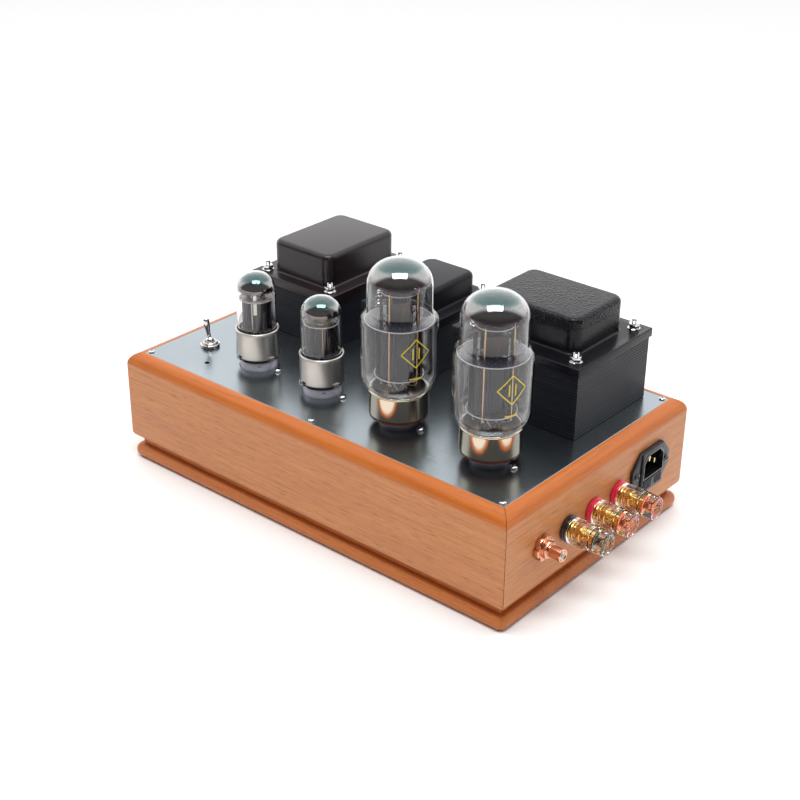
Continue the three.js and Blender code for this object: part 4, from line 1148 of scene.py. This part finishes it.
def make_cover(name):
    node = name + "_top_cover"
    low, high = box_mm(node)
    at = (low + high) / 2
    cap_x, cap_y = along_x(name, *TRANSFORMERS[name][3:5])
    look, slot = TRANSFORMERS[name][5:]
    flange_top = low.z + COVER_SKIRT + GAP + COVER_SHEET
    width, depth = high.x - low.x, high.y - low.y
    flange = prism(rounded(width, depth, 0.8, 3), low.z, flange_top)
    soften(flange, 0.7, 3, above=flange_top - 0.1, angle=60)
    cover = piece(node + "_pressed", flange, look, "chassis", [node], (at.x, at.y, 0))
    sheet = COVER_SHEET
    cut(
        cover,
        block(
            -width / 2 + sheet, width / 2 - sheet, -depth / 2 + sheet, depth / 2 - sheet, low.z - 1,
            flange_top - sheet,
        ),
        prism(rounded(cap_x - 4, cap_y - 4, CAP_CORNER - 2), low.z, flange_top + 1),
        *[bar(2.7, low.z - 1, flange_top + 1, x, y, 24) for x, y in bolt_places(name)],
    )
    cap = cap_shell(cap_x, cap_y, CAP_CORNER, CAP_EDGE, flange_top - 0.02, high.z, CAP_FILLET)
    hollow = cap_shell(
        cap_x - 2 * sheet, cap_y - 2 * sheet, CAP_CORNER - sheet, CAP_EDGE - sheet, flange_top - 3,
        high.z - sheet, 0,
    )
    drawn = piece(node + "_cap", cap, look, "chassis", at=(at.x, at.y, 0))
    cut(drawn, hollow)


def bolt_shape(low, high):
    """A through bolt with washer, nut and rounded thread end above and below."""
    parts = []
    for flip, seat in ((1, high), (-1, low)):
        washer = lathe([(2.2, 0), (4.5, 0), (4.5, 0.55), (4.25, 0.8), (2.2, 0.8)], SMALL_SIDES, True)
        nut = soften(prism(regular(6, 4.04, 0.25), 0.85, 4.0), 0.35, 2, angle=50)
        end = [(0, 3.0), (2.0, 3.0)] + thread(2.0, 1.78, 4.0, 6.3, 0.5, 0.2)
        end += [(1.9, 6.6), (1.5, 7.1), (0, 7.2)]
        stack = together(washer, nut, lathe(end, 24))
        if flip < 0:
            turned(stack, Matrix.Diagonal((1, 1, -1, 1)))
        parts.append(moved(stack, 0, 0, seat))
    parts.append(bar(1.95, low - 3, high + 3, sides=20))
    return together(*parts)


def make_bolts(name):
    low_z = DECK - PLATE - GAP
    cover = box_mm(name + "_top_cover")[0].z + COVER_SKIRT + GAP + COVER_SHEET
    at = centre(name + "_core")
    for i, (x, y) in enumerate(bolt_places(name)):
        replaced = [] if name == "choke" else [f"{name}_bolt_{i + 1}"]
        piece(
            f"{name}_bolt_{i + 1}_threaded", spun(bolt_shape(low_z, cover + 0.05), 23 * i + 11), chrome,
            "chassis", replaced, (at.x + x, at.y + y, 0),
        )


def make_core(name):
    """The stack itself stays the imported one, with the look of its plate edges."""
    paint_node(name + "_core", core_black)
    if name != "choke":
        paint_node(name + "_coil", copper_wire)


def paint_node(node, look):
    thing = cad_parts[node]
    thing.data.materials.clear()
    thing.data.materials.append(look)


def make_transformers():
    for name in TRANSFORMERS:
        make_core(name)
        make_cover(name)
        make_bolts(name)


# ---- Toggle switch ----
LEVER_TILT = math.radians(12)
LEVER_PIVOT = 4  # above the deck
LEVER_LENGTH = 18.4  # from the pivot
LEVER_BALL = 3.2
LEVER_TIP = 2.5


def make_switch():
    at = centre("switch_nut")
    place = (at.x, at.y, DECK)
    bushing = [(3.5, -3), (5.9, -3)] + thread(5.9, 5.6, 0.3, 3.2, 0.7, 0.3)
    bushing += [(5.9, 3.5), (5.4, 4.0), (4.0, 4.0), (3.5, 3.4)]
    case = soften(block(-6.5, 6.5, -6.5, 6.5, -21, -3), 0.5, 2)
    piece(
        "switch_body_shaped", together(lathe(bushing, ROUND_SIDES, True), case), satin_nickel, "chassis",
        ["switch_body"], place,
    )
    ring = [(6.2, 0.3), (7.3, 0.3), (7.3, 1.9)] + arc(6.7, 2.0, 0.6, 0, 90, 4) + [(6.2, 2.6)]
    nut = piece(
        "switch_nut_turned", lathe(ring, ROUND_SIDES, True), chrome, "chassis",
        ["switch_nut"], place,
    )
    slots = [spun(block(5.5, 8.5, -0.5, 0.5, 1.6, 3.2), turn) for turn in (30, 120, 210, 300)]
    cut(nut, *slots)
    lever_outline = [(0, -LEVER_BALL)] + arc(0, 0, LEVER_BALL, -80, 55, 15)
    lever_outline += [(1.5, 3.3), (1.55, 5)] + smooth_step(1.55, LEVER_TIP, 8, 5, 14.5)[1:]
    lever_outline += arc(0, LEVER_LENGTH - LEVER_TIP, LEVER_TIP, 0, 75, 5)
    lever_outline.append((0, LEVER_LENGTH))
    lever = turned(lathe(lever_outline, SMALL_SIDES), Matrix.Rotation(-LEVER_TILT, 4, "Y"))
    piece(
        "switch_lever_turned", lever, chrome, "lever", ["switch_lever"],
        (at.x, at.y, DECK + LEVER_PIVOT), sharp=math.radians(60),
    )


# ---- Speaker posts, built along Z and turned to +X ----
def facing(made, degrees=0):
    return turned(spun(made, degrees), TO_X)


def rear_nut():
    """The hexagon nut behind the board, shared by the posts and the jack."""
    return soften(prism(regular(6, 6.2), -18.8, -15.3), 0.4, 2, angle=50)


def make_post(number, collar_look, band_look):
    node = f"speaker_post_{number}"
    at = centre(node + "_stud")
    place = (FACE, at.y, at.z)
    body, insert_body, cap_body = "chassis", f"post_{number}_insert", f"post_{number}_cap"
    collar = [(3.2, 0.3), (9.0, 0.3)] + arc(8.5, 0.9, 0.7, -60, 0, 3)
    collar += [(9.2, 2.4), (8.8, 2.7), (8.8, 3.0), (9.2, 3.3)] + arc(8.7, 3.8, 0.5, 0, 90, 3)
    collar += [(3.2, 4.3)]
    piece(
        node + "_collar_moulded", facing(lathe(collar, ROUND_SIDES, True)), collar_look, body,
        [node + "_collar"], place,
    )
    stud = [(0, -25)] + thread(2.9, 2.55, -24.9, -15.4, 1.0, 0.4)
    stud += [(2.9, -15), (2.9, 4.6), (5.2, 4.6), (5.6, 5.0), (5.6, 7.8), (5.2, 8.2), (2.9, 8.2)]
    stud += [(2.9, 17.6), (2.5, 18.0), (2.0, 18.0), (2.0, 5.0), (0, 5.0)]
    nut = rear_nut()
    piece(
        node + "_stud_turned", facing(together(lathe(stud, SMALL_SIDES), nut)), gold, body,
        [node + "_stud"], place,
    )
    make_insert(node, insert_body, place)
    make_cap(node, cap_body, place, band_look)


def make_insert(node, body, place):
    """The threaded gold core: a plain part, a groove, and a part with eight flats."""
    plain = lathe(
        [(3.2, 8.5), (5.2, 8.5), (5.4, 8.8), (5.4, 12.6), (4.9, 12.9), (4.9, 13.4), (3.2, 13.4)],
        SMALL_SIDES, True,
    )
    flats = soften(prism(regular(8, 5.4), 13.4, 19.5), 0.25, 1)
    core = piece(
        node + "_insert_turned", facing(together(plain, flats), 10), gold, body,
        [node + "_insert"], place,
    )
    cut(core, facing(bar(3.2, 13.2, 21, sides=32)))


def make_cap(node, body, place, band_look):
    """The clear screw cap: two grooves, a fluted nose and a metal ring moulded in."""
    end = box_mm(node + "_cap")[1].x - FACE
    outer = [(5.9, 4.6), (8.6, 4.6), (9.0, 5.0), (9.0, 10.4), (8.55, 10.7), (8.55, 11.1), (9.0, 11.4)]
    outer += [(9.0, 17.2), (8.55, 17.5), (8.55, 17.9), (8.95, 18.2), (8.7, 22.0), (8.4, 26.0)]
    outer += arc(6.9, end - 1.5, 1.5, 5, 90, 6)
    outer += [(4.9, end), (4.5, end - 0.6), (3.1, end - 0.6), (2.7, end - 1.0), (2.3, end - 1.6)]
    outer += [(2.3, 19.8), (5.9, 19.8)]
    made = lathe(outer, 96, True)
    for vertex in made.verts:
        radius = math.hypot(vertex.co.x, vertex.co.y)
        if radius > 8 and 19 < vertex.co.z < end - 1:
            turn = math.atan2(vertex.co.y, vertex.co.x)
            groove = 1 - 0.018 * (1 - math.cos(12 * turn))
            vertex.co.x *= groove
            vertex.co.y *= groove
    piece(node + "_cap_turned", facing(made), acrylic, body, [node + "_cap"], place)
    sleeve = lathe([(2.7, 20.2), (5.3, 20.2), (5.3, 22.6), (2.7, 22.6)], SMALL_SIDES, True)
    piece(node + "_cap_ring", facing(sleeve), gold, body, at=place)
    band = lathe([(3.0, 22.7), (4.3, 22.7), (4.3, 23.4), (3.0, 23.4)], SMALL_SIDES, True)
    piece(node + "_cap_band", facing(band), band_look, body, at=place)


# ---- Signal jack ----
def make_jack():
    at = centre("signal_jack")
    place = (FACE, at.y, at.z)
    flange = []
    teeth = 6
    for i in range(teeth):
        start = 360 * i / teeth
        flange += arc(0, 0, 9.0, start + 12, start + 48, 6)
        flange += arc(0, 0, 7.4, start + 50, start + 70, 3)[:1] + arc(0, 0, 7.4, start + 60, start + 70, 1)
    plate = soften(prism(flange, 0.3, 3.9), 0.35, 2)
    neck = prism(regular(6, 6.6), 3.9, 7.3)
    soften(neck, 0.4, 2, angle=50)
    barrel = [(2.9, 3), (4.15, 3), (4.15, 15.2), (4.5, 15.5), (4.5, 16.8), (4.15, 17.3)]
    barrel += [(3.4, 17.3), (3.2, 17.0), (2.9, 16.6)]
    tail = [(0, -25), (3.9, -25), (3.9, 1), (0, 1)]
    nut = rear_nut()
    shell = together(plate, neck, lathe(barrel, SMALL_SIDES, True), lathe(tail, SMALL_SIDES), nut)
    piece("signal_jack_turned", facing(shell, 8), rose_gold, "chassis", ["signal_jack"], place)
    core = [(1.6, 8), (2.85, 8), (2.85, 16.4), (1.6, 16.4)]
    piece(
        "signal_jack_insulator", facing(lathe(core, SMALL_SIDES, True)), white_insulator, "chassis",
        at=place,
    )


# ---- Mains inlet ----
INLET_PROUD = 4.0
EAR_THICKNESS = 2.2
EAR_SCREW_AT = 18.2
INLET_FACE = (27, 31.4)
RECESS_LOW, RECESS_HIGH = -4.3, 12.7
RECESS_HALF = 11.8
DRAWER_AT = -10.0
PINS = ((-7, 2.2), (7, 2.2), (0, 6.2))


def recess_outline(grow=0.0):
    x, low, high, chamfer = RECESS_HALF + grow, RECESS_LOW - grow, RECESS_HIGH + grow, 5.0
    lower = [(-x, low), (x, low)]
    return lower + [(x, high - chamfer), (x - chamfer, high), (chamfer - x, high), (-x, high - chamfer)]


def upright(made):
    """Turns a shape drawn with x across, y up and z outwards to face +X."""
    return turned(made, Matrix(((0, 0, 1, 0), (1, 0, 0, 0), (0, 1, 0, 0), (0, 0, 0, 1))))


def recess_cutter():
    return upright(prism(recess_outline(), INLET_PROUD - 17, 12))


def pocket_cutter():
    return upright(block(-11.7, 11.7, DRAWER_AT - 4.1, DRAWER_AT + 4.1, -17, 12))


def make_inlet():
    low, high = box_mm("inlet_body")
    place = (FACE, centre("inlet_body").y, (low.z + high.z) / 2)
    ears = [(-13.5, -15.7), (13.5, -15.7), (23.5, -5), (23.5, 5)]
    ears += [(13.5, 15.7), (-13.5, 15.7), (-23.5, 5), (-23.5, -5)]
    plate = soften(prism(ears, GAP, GAP + EAR_THICKNESS), 0.5, 2)
    body = piece(
        "inlet_body_moulded", upright(plate), black_moulding, "chassis", ["inlet_body"],
        place,
    )
    holes = [upright(bar(1.7, -2, 5, side * EAR_SCREW_AT, 0, 24)) for side in (-1, 1)]
    cut(body, recess_cutter(), pocket_cutter(), *holes)
    face = soften(prism(rounded(*INLET_FACE, 1.4, 4), 2.2, INLET_PROUD), 0.6, 3, 3.9, 60)
    front = piece("inlet_face", upright(face), black_moulding, "chassis", at=place)
    cut(front, recess_cutter(), pocket_cutter())
    rear = soften(block(-12.8, 12.8, -15.0, 15.0, -24, 1), 0.4, 1)
    back = piece("inlet_rear", upright(rear), black_moulding, "chassis", at=place)
    cut(back, recess_cutter(), pocket_cutter(), *[upright(slot) for slot in pin_slots()])
    border = soften(prism(recess_outline(0.9), INLET_PROUD - 0.3, INLET_PROUD + 0.35), 0.15, 1)
    ring = piece("inlet_rim", upright(border), black_gloss, "chassis", at=place)
    cut(ring, recess_cutter())
    for side in (-1, 1):
        make_ear_screw(place, side)
    make_contacts(place)
    make_drawer(place)


def pin_slots():
    return [block(x - 1.3, x + 1.3, z - 2.3, z + 2.3, -25, -9) for x, z in PINS]


def make_ear_screw(place, side):
    across, seat = side * EAR_SCREW_AT, GAP + EAR_THICKNESS + 0.05
    head = moved(together(pan_screw(2.8, 1.5), bar(1.4, -8, 0.2, sides=16)), across, 0, seat)
    screw = piece(
        f"inlet_screw_{'front' if side < 0 else 'back'}", upright(head), black_gloss, "chassis",
        at=place,
    )
    cut(screw, *[upright(moved(tool, across, 0, seat)) for tool in cross_recess(2.8, 1.5)])


def make_contacts(place):
    pins = [soften(block(x - 1, x + 1, z - 2, z + 2, -24.5, 1.0), 0.45, 3) for x, z in PINS]
    carrier = soften(block(-11.8, 11.8, RECESS_LOW, RECESS_HIGH, -27.3, -24.3), 0.4, 1)
    piece(
        "inlet_contacts_formed", upright(together(*pins, carrier)), brass, "chassis",
        ["inlet_contacts"], place,
    )


def make_drawer(place):
    """The fuse drawer: a tray with a ribbed grip on its face."""
    front, back = INLET_PROUD + 0.6, INLET_PROUD - 20.4
    low, high = DRAWER_AT - 3.8, DRAWER_AT + 3.8
    tray = soften(block(-11.4, 11.4, low, high, back, front), 0.35, 2)
    body = piece(
        "fuse_drawer_moulded", upright(tray), black_moulding, "drawer", ["fuse_drawer"],
        place,
    )
    cut(body, upright(block(-10.3, 10.3, DRAWER_AT - 2.8, high + 1, -14.8, -9.2)))
    ribs = []
    for i in range(5):
        for side in (-1, 1):
            x = side * (9.8 - 1.7 * i)
            rib = block(x - 0.4, x + 0.4, low + 0.9, high - 0.9, front - 0.3, front + 0.4)
            ribs.append(soften(rib, 0.15, 1))
    grip = upright(together(*ribs))
    piece("fuse_drawer_ribs", grip, black_moulding, "drawer", at=place)
    make_fuse(place)


def make_fuse(place):
    across = Matrix.Rotation(math.pi / 2, 4, "Y")
    at = (0, DRAWER_AT, INLET_PROUD - 16)
    tube = turned(lathe([(2.0, -6), (2.4, -6), (2.4, 6), (2.0, 6)], 32, True), across)
    tube = upright(moved(tube, *at))
    piece("fuse_tube", tube, bulb_glass, "drawer", ["fuse"], place)
    ends = together(
        bar(2.5, -10, -5.5, sides=32, edge=0.4), bar(2.5, 5.5, 10, sides=32, edge=0.4),
        bar(0.2, -6, 6, sides=8),
    )
    ends = upright(moved(turned(ends, across), *at))
    piece("fuse_ends", ends, nickel, "drawer", at=place)


# ---- Inside ----
def make_inside():
    paint_node("main_board", board_green)
    paint_node("filter_capacitor", sleeve_blue)
    at = centre("choke_core")
    x, y = COIL_SIZES["choke"]
    low, high = box_mm("choke_core")
    winding = soften(block(-x, x, -y, y, low.z - 12, high.z + 11), 1.5, 3)
    coil = piece("choke_coil", winding, copper_wire, "chassis", at=(at.x, at.y, 0))
    leg = TRANSFORMERS["choke"][0] / 6 + 0.6
    cut(coil, block(-y - 20, y + 20, -leg, leg, low.z - 0.6, high.z + 0.6))


# ---- Camera, light and floor ----
CAMERA_AZIMUTH = math.radians(40.121)
CAMERA_ELEVATION = math.radians(27.506)
CAMERA_ROLL = 0.01
CAMERA_DISTANCE = 1124.9
CAMERA_SIDE = 0.87
CAMERA_RISE = 58.6
CAMERA_LENS = 67.76


def make_camera():
    a, e = CAMERA_AZIMUTH, CAMERA_ELEVATION
    back = Vector((math.sin(a) * math.cos(e), -math.cos(a) * math.cos(e), math.sin(e)))
    right = Vector((0, 0, 1)).cross(back).normalized()
    up = back.cross(right)
    c, s = math.cos(CAMERA_ROLL), math.sin(CAMERA_ROLL)
    right, up = c * right + s * up, c * up - s * right
    at = (CAMERA_SIDE * right + CAMERA_RISE * up + CAMERA_DISTANCE * back) * MM
    camera = bpy.data.objects.new("camera", bpy.data.cameras.new("camera"))
    camera.data.lens = CAMERA_LENS
    camera.data.sensor_width = 36
    camera.data.clip_end = 50
    matrix = Matrix((right, up, back)).transposed().to_4x4()
    matrix.translation = at
    camera.matrix_world = matrix
    bpy.context.scene.collection.objects.link(camera)
    bpy.context.scene.camera = camera


def area_light(name, at, target, size, power, colour=(1, 1, 1)):
    data = bpy.data.lights.new(name, "AREA")
    data.shape = "RECTANGLE"
    data.size, data.size_y = size
    data.energy = power
    data.color = colour
    lamp = bpy.data.objects.new(name, data)
    lamp.location = at
    lamp.rotation_euler = (Vector(target) - Vector(at)).to_track_quat("-Z", "Y").to_euler()
    bpy.context.scene.collection.objects.link(lamp)
    return lamp


def make_stage():
    floor = bpy.data.objects.new("floor", bpy.data.meshes.new("floor"))
    reach = 12
    corners = [(-reach, -reach, 0), (reach, -reach, 0), (reach, reach, 0), (-reach, reach, 0)]
    floor.data.from_pydata(corners, [], [(0, 1, 2, 3)])
    look = Look("floor")
    shade = look.noise(900, 2)
    look.set(Base_Color=look.mix(shade, (0.90, 0.90, 0.90), (0.92, 0.92, 0.92)), Roughness=0.9)
    look.set(Specular_IOR_Level=0.1)
    floor.data.materials.append(look.material)
    bpy.context.scene.collection.objects.link(floor)


BACKDROP = (-0.583, 0.694, 0.423)  # the middle of the bright half of the room


def make_world():
    """A pale room: bright behind and above, dim on the near side."""
    world = bpy.data.worlds.new("studio")
    world.use_nodes = True
    tree = world.node_tree
    background = tree.nodes["Background"]
    toward = tree.nodes.new("ShaderNodeTexCoord")
    facing_it = tree.nodes.new("ShaderNodeVectorMath")
    facing_it.operation = "DOT_PRODUCT"
    facing_it.inputs[1].default_value = BACKDROP
    tree.links.new(toward.outputs["Generated"], facing_it.inputs[0])
    level = tree.nodes.new("ShaderNodeMapRange")
    level.interpolation_type = "SMOOTHSTEP"
    for name, value in (("From Min", 0.02), ("From Max", 0.36), ("To Min", 0.16), ("To Max", 1.5)):
        level.inputs[name].default_value = value
    tree.links.new(facing_it.outputs["Value"], level.inputs["Value"])
    tree.links.new(level.outputs["Result"], background.inputs["Strength"])
    background.inputs["Color"].default_value = (1, 1, 1, 1)
    bpy.context.scene.world = world


def make_light():
    make_world()
    area_light("overhead", (0.22, -0.26, 1.5), (0, 0, 0.1), (1.0, 0.6), 15)
    bpy.context.scene.view_settings.view_transform = "Standard"


make_camera()
make_stage()
make_light()
make_base()
make_boards()
make_deck()
make_deck_screws()
make_valves()
make_transformers()
make_switch()
make_post(1, black_gloss, black_gloss)
make_post(2, red_moulding, orange_band)
make_post(3, red_moulding, orange_band)
make_jack()
make_inlet()
make_inside()
